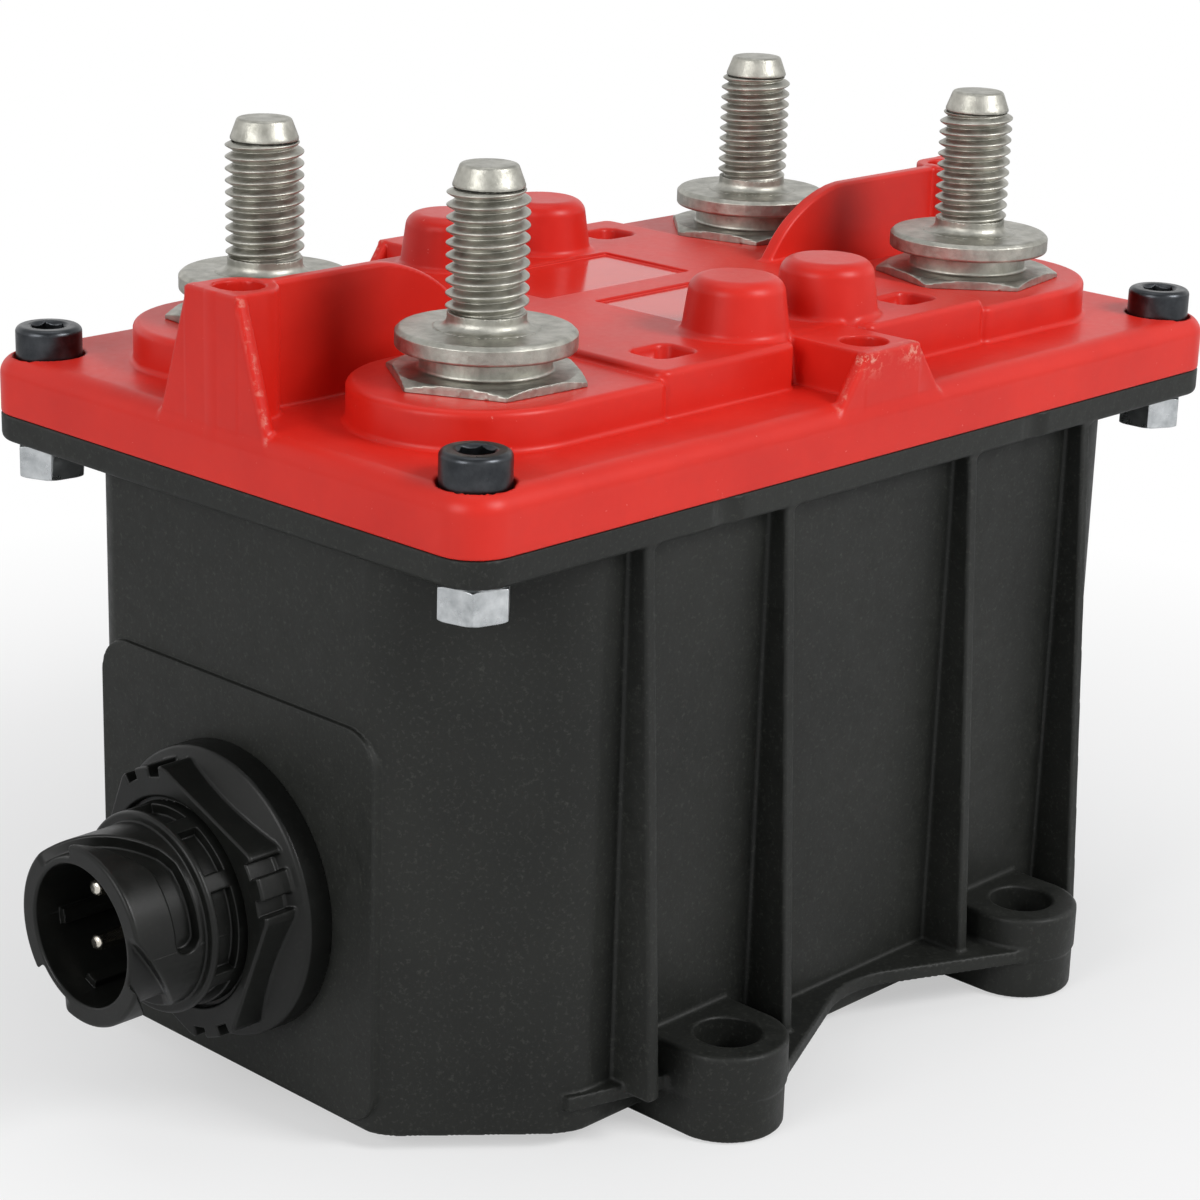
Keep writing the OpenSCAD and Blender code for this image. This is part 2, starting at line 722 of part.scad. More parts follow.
// Barrier wall for the right end; turn is where its top starts to come down
barrier_slope = 52;
barrier_step = 4;
module barrier(turn) {
    slope_x = turn - barrier_turn_r * sin(barrier_slope);
    slope_z = barrier_z - barrier_turn_r * (1 - cos(barrier_slope));
    foot_run = (slope_z - rim_z + rim_edge_r) / tan(barrier_slope);
    translate([0, barrier_t / 2, 0]) rotate([90, 0, 0]) linear_extrude(barrier_t)
        polygon(concat(
            [[lid_l / 2 - post_inset - tall_post_depth / 2, rim_z - rim_edge_r],
             [lid_l / 2 - post_inset - tall_post_depth / 2, barrier_z]],
            [for (a = [0 : barrier_step : barrier_slope])
                [turn - barrier_turn_r * sin(a), barrier_z - barrier_turn_r * (1 - cos(a))]],
            [[slope_x - foot_run, rim_z - rim_edge_r]]));
}

// A post with its buttress, on the plus X side of a lid that is side wide there.
// A round post has a round back, centred on its hole.
module post(side, w, depth, height, is_round) {
    outer = side / 2 - post_inset;
    block = is_round ? depth / 2 : depth;
    translate([outer - block, -w / 2, rim_z - rim_edge_r]) cube([block, w, height + rim_edge_r]);
    if (is_round) translate([outer - block, 0, rim_z - rim_edge_r]) cylinder(h = height + rim_edge_r, d = w);
    translate([outer - buttress_t, 0, 0]) rotate([90, 0, 90]) linear_extrude(buttress_t)
        polygon([[-w / 2 - buttress_spread, rim_z - buttress_drop],
                 [w / 2 + buttress_spread, rim_z - buttress_drop],
                 [w / 2, rim_z + height], [-w / 2, rim_z + height]]);
}

module post_hole(side, depth, height, hole_depth) {
    translate([side / 2 - post_inset - depth / 2, 0, rim_z + height - hole_depth])
        cylinder(h = hole_depth + cut, d = post_hole_d);
}

module low_post_neck() {
    translate([platform_w / 2 - recess_depth - lid_wall / 2, -low_post_w / 2, rim_z - rim_edge_r])
        cube([lid_w / 2 - post_inset - low_post_depth / 2 - platform_w / 2 + recess_depth + lid_wall / 2,
              low_post_w, platform_h + rim_edge_r]);
}

module shallow_panel(l, w) {
    translate([-l / 2, 0, platform_z - panel_depth]) cube([l, w, panel_depth + cut]);
}

// Hollow under the rim, for the contact bars with their lock washers
cavity_gap = 1;
cavity_l = stud_dx + lock_washer_d + 2 * cavity_gap;
cavity_w = stud_dy + lock_washer_d + 2 * cavity_gap;
module lid() {
    color(plastic_red) difference() {
        union() {
            lid_rim();
            for (sx = [0, 1], sy = [0, 1]) mirror([sx, 0, 0]) mirror([0, sy, 0]) stud_pad();
            platform();
            four(dome_dx, dome_dy) translate([0, 0, platform_z - panel_depth]) dome();
            barrier(right_barrier_turn);
            mirror([1, 0, 0]) barrier(left_barrier_turn);
            for (a = [0, 180]) rotate([0, 0, a]) post(lid_l, tall_post_w, tall_post_depth, barrier_h, true);
            for (a = [90, -90]) rotate([0, 0, a]) {
                post(lid_w, low_post_w, low_post_depth, platform_h, false);
                low_post_neck();
            }
        }
        for (a = [0, 180]) rotate([0, 0, a]) post_hole(lid_l, tall_post_depth, barrier_h, post_hole_depth);
        for (a = [90, -90]) rotate([0, 0, a]) post_hole(lid_w, low_post_depth, platform_h, low_hole_depth);
        translate([-cavity_l / 2, -cavity_w / 2, seam_z - cut])
            cube([cavity_l, cavity_w, lid_cavity_h + cut]);
        translate([lid_wall - platform_l / 2, lid_wall + recess_depth - platform_w / 2, seam_z - cut])
            cube([platform_l - 2 * lid_wall, platform_w - 2 * lid_wall - 2 * recess_depth,
                  rim_h + platform_h - lid_wall + cut]);
        four(pocket_dx, pocket_dy) translate([0, 0, platform_z - pocket_depth])
            linear_extrude(pocket_depth + cut) square([pocket_l, pocket_w], center = true);
        translate([0, -panel_gap / 2 - front_panel_w, 0]) shallow_panel(front_panel_l, front_panel_w);
        translate([0, panel_gap / 2, 0]) shallow_panel(rear_panel_l, rear_panel_w);
        four(screw_dx, screw_dy) {
            translate([0, 0, seam_z - cut]) cylinder(h = rim_h + 2 * cut, d = screw_d + 2 * fit_gap);
            translate([0, 0, rim_z - counterbore_h])
                cylinder(h = counterbore_h + cut, d = screw_head_d + 2 * free_gap);
        }
        four(stud_dx, stud_dy) {
            translate([0, 0, seam_z - cut]) cylinder(h = pad_z - seam_z + 2 * cut, d = shank_d + 2 * fit_gap);
            translate([0, 0, pad_z - seal_seat_h])
                cylinder(h = seal_seat_h + cut, d = shank_d + 2 * seal_w + 2 * fit_gap);
        }
    }
}

screw_end = 0.2;
head_chamfer = 0.5;
module lid_screw() {
    head_z = rim_z - counterbore_h;
    end_z = seam_z - flange_t - nut_washer_t - nut_h - screw_end;
    translate([0, 0, end_z]) cylinder(h = head_z - end_z, d = screw_d);
    translate([0, 0, head_z]) difference() {
        union() {
            cylinder(h = screw_head_h - head_chamfer, d = screw_head_d);
            translate([0, 0, screw_head_h - head_chamfer])
                cylinder(h = head_chamfer, d1 = screw_head_d, d2 = screw_head_d - 2 * head_chamfer);
        }
        translate([0, 0, screw_head_h - socket_depth]) hex(socket_af, socket_depth + cut);
    }
}

module lid_screws() {
    color(black_oxide) four(screw_dx, screw_dy) lid_screw();
}

module lid_nuts() {
    nut_z = seam_z - flange_t - nut_washer_t - nut_h;
    color(zinc) four(screw_dx, screw_dy) translate([0, 0, nut_z]) difference() {
        hex(nut_af, nut_h);
        translate([0, 0, -cut]) cylinder(h = nut_h + 2 * cut, d = screw_d + slide_gap);
    }
}

module lid_nut_washers() {
    color(zinc) four(screw_dx, screw_dy) translate([0, 0, seam_z - flange_t - nut_washer_t])
        ring(nut_washer_d / 2, screw_d / 2 + fit_gap, nut_washer_t);
}

disc_z = pad_z + stud_hex_t + collar_h;
disc_top_z = disc_z + disc_t;
thread_z = disc_top_z + relief_h;
shank_end = 0.5;
lock_nut_z = bar_z - lock_washer_t - lock_nut_h;
shank_z = lock_nut_z - shank_end;
module stud(x, y) {
    color(nickel) translate([x, y, 0]) {
        translate([0, 0, shank_z]) cylinder(h = pad_z - shank_z, d = shank_d);
        translate([0, 0, pad_z]) hex(stud_hex_af, stud_hex_t);
        translate([0, 0, pad_z]) cylinder(h = disc_z - pad_z, d = collar_d);
        translate([0, 0, disc_z]) cylinder(h = disc_t - disc_chamfer, d = disc_d);
        translate([0, 0, disc_top_z - disc_chamfer])
            cylinder(h = disc_chamfer, d1 = disc_d, d2 = disc_d - 2 * disc_chamfer);
        translate([0, 0, disc_top_z]) cylinder(h = relief_h, d = relief_d);
        translate([0, 0, thread_z]) cylinder(h = thread_l, d = thread_d);
        translate([0, 0, thread_z + thread_l]) cylinder(h = tip_h, d1 = tip_base_d, d2 = tip_top_d);
    }
}

module stud_seals() {
    color(rubber) four(stud_dx, stud_dy) translate([0, 0, pad_z - seal_seat_h])
        ring(shank_d / 2 + seal_w, shank_d / 2 + slide_gap, seal_seat_h - slide_gap);
}

module stud_lock_nuts() {
    color(zinc) four(stud_dx, stud_dy) translate([0, 0, lock_nut_z]) rotate([0, 0, 30]) difference() {
        hex(lock_nut_af, lock_nut_h);
        translate([0, 0, -cut]) cylinder(h = lock_nut_h + 2 * cut, d = shank_d + slide_gap);
    }
}

module stud_lock_washers() {
    color(zinc) four(stud_dx, stud_dy) translate([0, 0, bar_z - lock_washer_t])
        ring(lock_washer_d / 2, shank_d / 2 + fit_gap, lock_washer_t);
}

module fixed_contact(sx, sy) {
    color(copper) translate([sx * stud_x, sy * stud_y, bar_z]) mirror([sx > 0 ? 0 : 1, 0, 0]) difference() {
        translate([-bar_inner, -bar_w / 2, 0]) cube([bar_inner + bar_outer, bar_w, bar_t]);
        translate([0, 0, -cut]) cylinder(h = bar_t + 2 * cut, d = shank_d + 2 * slide_gap);
    }
}

module fixed_contact_tips() {
    color(silver) four(2 * tip_x, stud_dy) translate([0, 0, fixed_tip_z]) cylinder(h = tip_t, d = tip_d);
}

module contact_bridge(y) {
    color(copper) translate([-bridge_l / 2, y - bridge_w / 2, bridge_z]) cube([bridge_l, bridge_w, bridge_t]);
}

module bridge_contact_tips() {
    color(silver) four(2 * tip_x, stud_dy) translate([0, 0, bridge_top_z]) cylinder(h = tip_t, d = tip_d);
}

module contact_spring(y) {
    color(steel) translate([0, y, bridge_z - contact_spring_l])
        ring(contact_spring_d / 2, contact_spring_d / 2 - spring_wire, contact_spring_l);
}

module carrier_window(y) {
    leg_y = bridge_w / 2 + free_gap;
    for (s = [0, 1]) translate([0, y, 0]) mirror([0, s, 0])
        translate([-carrier_x / 2, leg_y, carrier_z])
            cube([carrier_x, carrier_leg, carrier_top_z - carrier_z]);
    translate([-carrier_x / 2, y - leg_y - carrier_leg, bridge_top_z])
        cube([carrier_x, 2 * (leg_y + carrier_leg), carrier_leg]);
}

module contact_carrier() {
    color(amber) difference() {
        union() {
            translate([-carrier_x / 2, -carrier_half_y, carrier_z])
                cube([carrier_x, 2 * carrier_half_y, carrier_floor]);
            for (y = [-stud_y, stud_y]) carrier_window(y);
            translate([0, lever_end_y - tab_w / 2, carrier_z])
                cube([aux_mid_x + lever_w / 2, tab_w, carrier_floor]);
            for (x = [-guide_x, guide_x]) translate([x, 0, carrier_z]) cylinder(h = carrier_floor, r = lug_r);
            translate([-guide_x, -lug_r, carrier_z]) cube([2 * guide_x, 2 * lug_r, carrier_floor]);
        }
        translate([0, 0, carrier_z - cut]) cylinder(h = carrier_floor + 2 * cut, d = rod_d + 2 * fit_gap);
        for (x = [-guide_x, guide_x]) translate([x, 0, carrier_z - cut])
            cylinder(h = carrier_floor + 2 * cut, d = guide_d + 2 * slide_gap);
    }
}

guide_over = 2;
module guide_pins() {
    color(steel) for (x = [-guide_x, guide_x]) translate([x, 0, top_plate_z])
        cylinder(h = yoke_t + carrier_lift + carrier_floor + close_travel + guide_over, d = guide_d);
}

rod_share = 0.35;
rod_collar_r = 1.5;
rod_collar_h = 1.5;
clip_t = 1;
clip_w = 2.2;
rod_end = 2.5;
rod_z = plunger_z + plunger_l * rod_share;
rod_top_z = carrier_z + carrier_floor + rod_end;
module push_rod() {
    color(steel) {
        translate([0, 0, rod_z]) cylinder(h = rod_top_z - rod_z, d = rod_d);
        translate([0, 0, carrier_z - rod_collar_h]) cylinder(h = rod_collar_h, r = rod_d / 2 + rod_collar_r);
    }
}

module rod_clip() {
    color(black_oxide) translate([0, 0, carrier_z + carrier_floor])
        ring(rod_d / 2 + clip_w, rod_d / 2 + slide_gap / 2, clip_t);
}

module plunger() {
    color(steel) difference() {
        translate([0, 0, plunger_z]) cylinder(h = plunger_l, d = plunger_d);
        translate([0, 0, rod_z - slide_gap]) cylinder(h = plunger_l + cut, d = rod_d + slide_gap);
        translate([0, 0, plunger_top_z - plunger_pocket])
            cylinder(h = plunger_pocket + cut, d = return_spring_d + 2 * soft_gap);
    }
}

module return_spring() {
    color(zinc) translate([0, 0, plunger_top_z - plunger_pocket])
        ring(return_spring_d / 2, return_spring_d / 2 - spring_wire,
             plunger_pocket + close_travel + air_gap + core_pocket);
}

module plunger_bumper() {
    color(rubber) translate([0, 0, bobbin_z]) ring(plunger_d / 2 - soft_gap, rod_d / 2, bumper_t - slide_gap);
}

module pole_core() {
    color(steel) difference() {
        translate([0, 0, core_z]) cylinder(h = yoke_top_z - core_z, d = plunger_d);
        translate([0, 0, core_z - cut])
            cylinder(h = yoke_top_z - core_z + 2 * cut, d = rod_d + 2 * soft_gap);
        translate([0, 0, core_z - cut]) cylinder(h = core_pocket + cut, d = return_spring_d + 2 * soft_gap);
    }
}

module latching_magnet() {
    color(black_oxide) translate([0, 0, magnet_z]) ring(magnet_d / 2, plunger_d / 2 + soft_gap, magnet_t);
}

module coil_bobbin() {
    color(amber) difference() {
        union() {
            translate([0, 0, bobbin_z]) cylinder(h = bobbin_l, d = bobbin_bore_d + 2 * bobbin_t);
            for (z = [bobbin_z, magnet_z - bobbin_t])
                translate([0, 0, z]) cylinder(h = bobbin_t, d = bobbin_d);
        }
        translate([0, 0, bobbin_z - cut]) cylinder(h = bobbin_l + 2 * cut, d = bobbin_bore_d);
    }
}

winding_share = 0.94;
module coil_winding() {
    color(winding_red) translate([0, 0, bobbin_z + bobbin_t + fit_gap])
        ring(bobbin_d * winding_share / 2, bobbin_bore_d / 2 + bobbin_t + slide_gap,
             bobbin_l - 2 * bobbin_t - 2 * fit_gap);
}

module solenoid_yoke() {
    color(steel) difference() {
        union() {
            translate([-yoke_half_x, -yoke_w / 2, yoke_foot_z]) cube([2 * yoke_half_x, yoke_w, yoke_t]);
            translate([-yoke_half_x, -yoke_foot_w / 2, yoke_foot_z])
                cube([2 * yoke_half_x, yoke_foot_w, yoke_t]);
            for (s = [0, 1]) mirror([s, 0, 0]) translate([yoke_leg_x, -yoke_w / 2, yoke_foot_z])
                cube([yoke_leg, yoke_w, top_plate_z - yoke_foot_z]);
        }
        four(2 * yoke_screw_x, 2 * yoke_screw_y) translate([0, 0, top_plate_z - yoke_screw_l])
            cylinder(h = yoke_screw_l + cut, r = m3_r + slide_gap);
        four(2 * floor_screw_x, 2 * floor_screw_y) translate([0, 0, yoke_foot_z - cut])
            cylinder(h = yoke_t + 2 * cut, r = m4_r + fit_gap);
        for (s = [-1, 1]) aux_screw_at(s, aux_screw_bite)
            cylinder(h = aux_screw_bite + cut, r = aux_screw_r + slide_gap);
    }
}

module yoke_top_plate() {
    color(steel) difference() {
        translate([-yoke_half_x, -yoke_w / 2, top_plate_z]) cube([2 * yoke_half_x, yoke_w, yoke_t]);
        translate([0, 0, top_plate_z - cut]) cylinder(h = yoke_t + 2 * cut, d = plunger_d + slide_gap);
        for (x = [-guide_x, guide_x]) translate([x, 0, top_plate_z - cut])
            cylinder(h = yoke_t + 2 * cut, d = guide_d + slide_gap);
        four(2 * yoke_screw_x, 2 * yoke_screw_y) translate([0, 0, top_plate_z - cut])
            cylinder(h = yoke_t + 2 * cut, r = m3_r + fit_gap);
    }
}

module yoke_screws() {
    color(zinc) four(2 * yoke_screw_x, 2 * yoke_screw_y) {
        translate([0, 0, top_plate_z - yoke_screw_l + fit_gap])
            cylinder(h = yoke_screw_l + yoke_t - fit_gap, r = m3_r);
        translate([0, 0, yoke_top_z]) cylinder(h = m3_head_h, r = m3_head_r);
    }
}

module yoke_floor_screws() {
    color(zinc) four(2 * floor_screw_x, 2 * floor_screw_y) {
        translate([0, 0, yoke_foot_z - floor_screw_bite + fit_gap])
            cylinder(h = floor_screw_bite + yoke_t - fit_gap, r = m4_r);
        translate([0, 0, yoke_foot_z + yoke_t]) cylinder(h = m4_head_h, r = m4_head_r);
    }
}

aux_screw_bite = 4;
aux_head_h = 1.4;
aux_head_r = 2;
// Places a shape along plus X on a screw axis of the auxiliary switch, back by the bite
module aux_screw_at(s, back) {
    translate([aux_left - back, s * aux_y * aux_screw_share, aux_top_z - aux_screw_drop])
        rotate([0, 90, 0]) children();
}

module aux_switch_body() {
    color(plastic_black) difference() {
        union() {
            translate([aux_left, -aux_y / 2, aux_base_z]) cube([aux_x, aux_y, aux_z]);
            for (x = [aux_left, aux_left + aux_x - aux_ear])
                translate([x, -aux_y / 2, aux_top_z]) cube([aux_ear, 2 * pivot_inset, lever_eye_d]);
        }
        translate([aux_left - cut, lever_pivot_y, lever_pivot_z]) rotate([0, 90, 0])
            cylinder(h = aux_x + 2 * cut, d = lever_pin_d + slide_gap);
        translate([aux_mid_x, button_y, aux_top_z - button_l])
            cylinder(h = button_l + cut, d = button_d + 2 * slide_gap);
        for (s = [-1, 1]) aux_screw_at(s, cut) cylinder(h = aux_x + 2 * cut, r = aux_screw_r + fit_gap);
    }
}

module aux_switch_pin() {
    color(steel) translate([aux_left, lever_pivot_y, lever_pivot_z]) rotate([0, 90, 0])
        cylinder(h = aux_x, d = lever_pin_d);
}

lever_over = 1;
module aux_switch_lever() {
    color(zinc) difference() {
        union() {
            translate([aux_mid_x - lever_w / 2, lever_pivot_y, lever_pivot_z - lever_t / 2])
                cube([lever_w, lever_arm + lever_over, lever_t]);
            translate([aux_mid_x - lever_w / 2, lever_pivot_y, lever_pivot_z]) rotate([0, 90, 0])
                cylinder(h = lever_w, d = lever_eye_d);
        }
        translate([aux_mid_x - lever_w / 2 - cut, lever_pivot_y, lever_pivot_z]) rotate([0, 90, 0])
            cylinder(h = lever_w + 2 * cut, d = lever_pin_d + 2 * slide_gap);
    }
}

module aux_switch_button() {
    color(plastic_red) translate([aux_mid_x, button_y, aux_top_z - button_l + fit_gap])
        cylinder(h = lever_pivot_z - lever_t / 2 - aux_top_z + button_l - 2 * fit_gap, d = button_d);
}

module aux_switch_screws() {
    color(zinc) for (s = [-1, 1]) {
        aux_screw_at(s, aux_screw_bite - fit_gap)
            cylinder(h = aux_screw_bite + aux_x - fit_gap, r = aux_screw_r);
        aux_screw_at(s, -aux_x) cylinder(h = aux_head_h, r = aux_head_r);
    }
}

module pin_axes(x) {
    for (sy = [-1, 1], sz = [-1, 1])
        translate([-x, sy * pin_spacing / 2, connector_z + sz * pin_spacing / 2])
            rotate([0, -90, 0]) children();
}

module circuit_board() {
    color(board_green) difference() {
        translate([-board_x, -board_w / 2, board_z]) cube([board_t, board_w, board_h]);
        pin_axes(board_back_x - cut) cylinder(h = board_t + 2 * cut, d = pin_d + 2 * fit_gap);
        standoffs(board_gap + board_t + cut, standoff_hole_d + 2 * fit_gap);
    }
}

// Blocks on the board: share of its width, share of its height, and three sizes
part_w_shares = [0.34, 0.16, 0.12];
part_h_shares = [0.2, 0.24, 0.12];
part_deep = [6, 9, 3];
part_y_shares = [-0.06, 0.22, -0.36];
part_z_shares = [0.48, 0.4, 0.16];
module board_components() {
    color(plastic_black) for (i = [0 : len(part_deep) - 1])
        translate([-board_back_x, (part_y_shares[i] - part_w_shares[i] / 2) * board_w,
                   board_z + part_z_shares[i] * board_h])
            cube([part_deep[i], part_w_shares[i] * board_w, part_h_shares[i] * board_h]);
}

board_screw_d = 2.5;
board_screw_bite = 6;
board_head_d = 5;
module board_screws() {
    color(zinc) for (y = [-board_screw_y, board_screw_y])
        translate([-board_back_x, y, board_screw_z]) rotate([0, 90, 0]) {
            translate([0, 0, -board_t - board_screw_bite])
                cylinder(h = board_t + board_screw_bite, d = board_screw_d);
            cylinder(h = aux_head_h, d = board_head_d);
        }
}

lead_share = 0.45;
lead_y = bobbin_d * lead_share;
lead_near_y = lead_y - wire_d / 2;
lead_x = sqrt(bobbin_d * bobbin_d / 4 - lead_near_y * lead_near_y);
module coil_leads() {
    lead_z = magnet_z - bobbin_t / 2;
    color(winding_red) for (s = [-1, 1])
        wire([[-lead_x - fit_gap, s * lead_y, lead_z], [-board_back_x, s * lead_y, lead_z]]);
}

aux_lead_shares = [0.3, 0.6];
aux_lead_y = 3.5;
lead_bend = 8;
module aux_leads() {
    color(rubber) for (s = aux_lead_shares) {
        z = aux_base_z + s * aux_z;
        y = aux_y / 2 + aux_lead_y + s * aux_lead_y;
        wire([[aux_mid_x, aux_y / 2, z], [aux_mid_x, y + lead_bend, z], [-board_back_x, y + lead_bend, z]]);
    }
}

// Bayonet groove in the shell: a slanting run from the mouth, then a run round the shell.
// Its mouth lies at the angle a.
groove_w = 3.4;
groove_depth = 1.7;
groove_level = 7.4;
groove_slant = 62;
groove_turn = 114;
groove_steps = 6;
module bayonet_groove(a) {
    lean = atan(groove_level / (shell_d / 2 * groove_slant * PI / 180));
    step = groove_level / groove_steps / sin(lean);
    for (i = [0 : groove_steps - 1])
        rotate([0, 0, a - groove_slant * (i + 1 / 2) / groove_steps])
            translate([shell_d / 2, 0, mouth_x - barrel_x - groove_level * (i + 1 / 2) / groove_steps])
                rotate([lean, 0, 0]) translate([-groove_depth, -step, -groove_w / 2])
                    cube([2 * groove_depth, 2 * step, groove_w]);
    rotate([0, 0, a - groove_turn]) translate([0, 0, mouth_x - barrel_x - groove_level - groove_w / 2])
        rotate_extrude(angle = groove_turn - groove_slant) translate([shell_d / 2 - groove_depth, 0])
            square([2 * groove_depth, groove_w]);
}

groove_angles = [27.8, 147.8, 267.8];
key_w = 2;
key_h = 1;
key_angles = [25, 115, 205, 295];
module connector_shell() {
    color(plastic_black) union() {
        difference() {
            union() {
                along_connector(inner_face_x) cylinder(h = inner_flange_t - slide_gap, d = inner_flange_d);
                along_connector(inner_face_x - connector_back)
                    cylinder(h = connector_back + inner_flange_t, d = barrel_d);
                along_connector(wall_in_x - slide_gap)
                    cylinder(h = ring_front_x - wall_in_x + slide_gap, d = connector_thread_d);
                along_connector(ring_front_x) cylinder(h = barrel_l, d = barrel_d);
                along_connector(barrel_x) difference() {
                    cylinder(h = mouth_x - barrel_x, d = shell_d);
                    for (a = groove_angles) bayonet_groove(a);
                }
            }
            along_connector(bore_end_x) cylinder(h = socket_bore_depth + cut, d = shell_bore_d);
            pin_axes(inner_face_x - connector_back - cut)
                cylinder(h = bore_end_x - inner_face_x + connector_back + 2 * cut, d = pin_d + slide_gap);
        }
        along_connector(bore_end_x) intersection() {
            ring(shell_d / 2 - groove_depth, shell_bore_d / 2 - key_h, socket_bore_depth - pin_setback);
            for (a = key_angles) rotate([0, 0, a]) translate([0, -key_w / 2, 0])
                cube([shell_d / 2, key_w, socket_bore_depth]);
        }
    }
}

// Slots in the ring nut's round corners, two beside each corner's middle
slot_w = 2;
slot_l = 5;
slot_depth = 1.3;
slot_angle = 8.2;
nut_turn = -22;
module connector_nut() {
    color(plastic_black) along_connector(pad_x) difference() {
        union() {
            cylinder(h = ring_flange_t, d = ring_flange_d);
            intersection() {
                cylinder(h = ring_nut_t, d = ring_nut_d);
                rotate([0, 0, nut_turn]) translate([-ring_nut_af / 2, -ring_nut_af / 2, 0])
                    cube([ring_nut_af, ring_nut_af, ring_nut_t]);
            }
        }
        translate([0, 0, -cut]) cylinder(h = ring_nut_t + 2 * cut, d = connector_thread_d + 2 * slide_gap);
        for (corner = [45 : 90 : 315], side = [-1, 1]) rotate([0, 0, nut_turn + corner + side * slot_angle])
            translate([ring_nut_d / 2 - slot_depth, -slot_w / 2, ring_nut_t - slot_l])
                cube([slot_depth + cut, slot_w, slot_l + cut]);
    }
}

module connector_seal() {
    color(rubber) along_connector(inner_face_x - seal_t)
        ring(inner_flange_d / 2 - seal_depth, barrel_d / 2 + slide_gap, seal_t - slide_gap);
}

module connector_pins() {
    color(nickel) pin_axes(board_back_x - pin_tail)
        cylinder(h = mouth_x - pin_setback - board_back_x + pin_tail, d = pin_d);
}

housing();
lid();
lid_gasket();
lid_screws();
lid_nuts();
lid_nut_washers();
stud(-stud_x, -stud_y);  // stud_front_left
stud(stud_x, -stud_y);  // stud_front_right
stud(-stud_x, stud_y);  // stud_rear_left
stud(stud_x, stud_y);  // stud_rear_right
stud_seals();
stud_lock_nuts();
stud_lock_washers();
fixed_contact(-1, -1);  // fixed_contact_front_left
fixed_contact(1, -1);  // fixed_contact_front_right
fixed_contact(-1, 1);  // fixed_contact_rear_left
fixed_contact(1, 1);  // fixed_contact_rear_right
fixed_contact_tips();
contact_bridge(-stud_y);  // contact_bridge_front
contact_bridge(stud_y);  // contact_bridge_rear
bridge_contact_tips();
contact_spring(-stud_y);  // contact_spring_front
contact_spring(stud_y);  // contact_spring_rear
contact_carrier();
push_rod();
rod_clip();
plunger();
return_spring();
plunger_bumper();
pole_core();
latching_magnet();
coil_bobbin();
coil_winding();
solenoid_yoke();
yoke_top_plate();
yoke_screws();
yoke_floor_screws();
guide_pins();
aux_switch_body();
aux_switch_lever();
aux_switch_pin();
aux_switch_button();
aux_switch_screws();
circuit_board();
board_components();
board_screws();
coil_leads();
aux_leads();
connector_shell();
connector_nut();
connector_seal();
connector_pins();
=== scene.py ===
import json
import math

import bmesh
import bpy
import numpy as np
from mathutils import Matrix, Vector


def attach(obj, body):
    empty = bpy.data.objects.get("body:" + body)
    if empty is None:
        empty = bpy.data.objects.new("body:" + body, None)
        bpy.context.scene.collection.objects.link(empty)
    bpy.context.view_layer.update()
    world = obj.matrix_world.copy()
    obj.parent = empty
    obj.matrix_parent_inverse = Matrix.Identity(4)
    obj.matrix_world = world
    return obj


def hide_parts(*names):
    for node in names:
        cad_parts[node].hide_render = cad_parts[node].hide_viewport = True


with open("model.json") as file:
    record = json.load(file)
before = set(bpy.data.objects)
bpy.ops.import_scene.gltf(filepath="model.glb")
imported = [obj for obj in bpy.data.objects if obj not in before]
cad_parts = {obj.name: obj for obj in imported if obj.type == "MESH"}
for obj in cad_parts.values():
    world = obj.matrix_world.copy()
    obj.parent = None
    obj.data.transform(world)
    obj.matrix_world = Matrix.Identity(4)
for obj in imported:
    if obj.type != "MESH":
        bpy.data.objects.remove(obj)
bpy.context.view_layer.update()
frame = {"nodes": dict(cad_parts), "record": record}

FIXED = "switch_frame"
MM = 0.001
ROUGH = 1.0

# Sizes and places that several pieces share, in millimetres from the centre of the foot holes.
# LID_X and the like are half sizes, and a name in _Z is a height above the feet.
LID_X, LID_Y, LID_R = 72.5, 45, 5.4
FLANGE_Z, SEAM_Z, RIM_Z, PAD_Z, PLATFORM_Z, DOME_Z, POST_Z = 76.4, 80, 87.5, 92.5, 93.5, 100.7, 103
TALL_POST_X, LOW_POST_Y = 67.6, 39.6
SCREW_X, SCREW_Y, SCREW_HOLE_R = 66.5, 39, 2.6
STUD_X, STUD_Y = 46.7, 20.1
COUNTERBORE_Z = 86.1
MOUTH_X, AXIS_Z = -92.95, 27.6

# Camera, fitted to the photograph
cam_data = bpy.data.cameras.new("camera")
cam_data.lens = 92.097
cam_data.sensor_width = 36
cam_data.clip_start = 0.01
cam_data.clip_end = 20
camera = bpy.data.objects.new("camera", cam_data)
right = Vector((0.69217, -0.72119, 0.02861)).normalized()
back = Vector((-0.69219, -0.65206, 0.30936)).normalized()
up = back.cross(right).normalized()
right = up.cross(back)
place = Matrix((right, up, back)).transposed().to_4x4()
place.translation = Vector((-0.2946, -0.2733, 0.1803))
camera.matrix_world = place
bpy.context.scene.collection.objects.link(camera)
bpy.context.scene.camera = camera
bpy.context.scene.view_settings.view_transform = "Standard"


# Distance fields, in millimetres: negative inside, so max() cuts and min() joins

def edge(a, b, r):
    """Where a and b meet, an outer edge rounded with radius r."""
    return np.minimum(-r, np.maximum(a, b)) + np.hypot(np.maximum(r + a, 0), np.maximum(r + b, 0))


def fillet(a, b, r):
    """a joined to b, with the inner edge between them rounded with radius r."""
    return np.maximum(r, np.minimum(a, b)) - np.hypot(np.maximum(r - a, 0), np.maximum(r - b, 0))


def rect(x, y, hx, hy, r):
    qx = np.abs(x) - hx + r
    qy = np.abs(y) - hy + r
    return np.hypot(np.maximum(qx, 0), np.maximum(qy, 0)) + np.minimum(np.maximum(qx, qy), 0) - r


def slab(v, low, high):
    return np.abs(v - (low + high) / 2) - (high - low) / 2


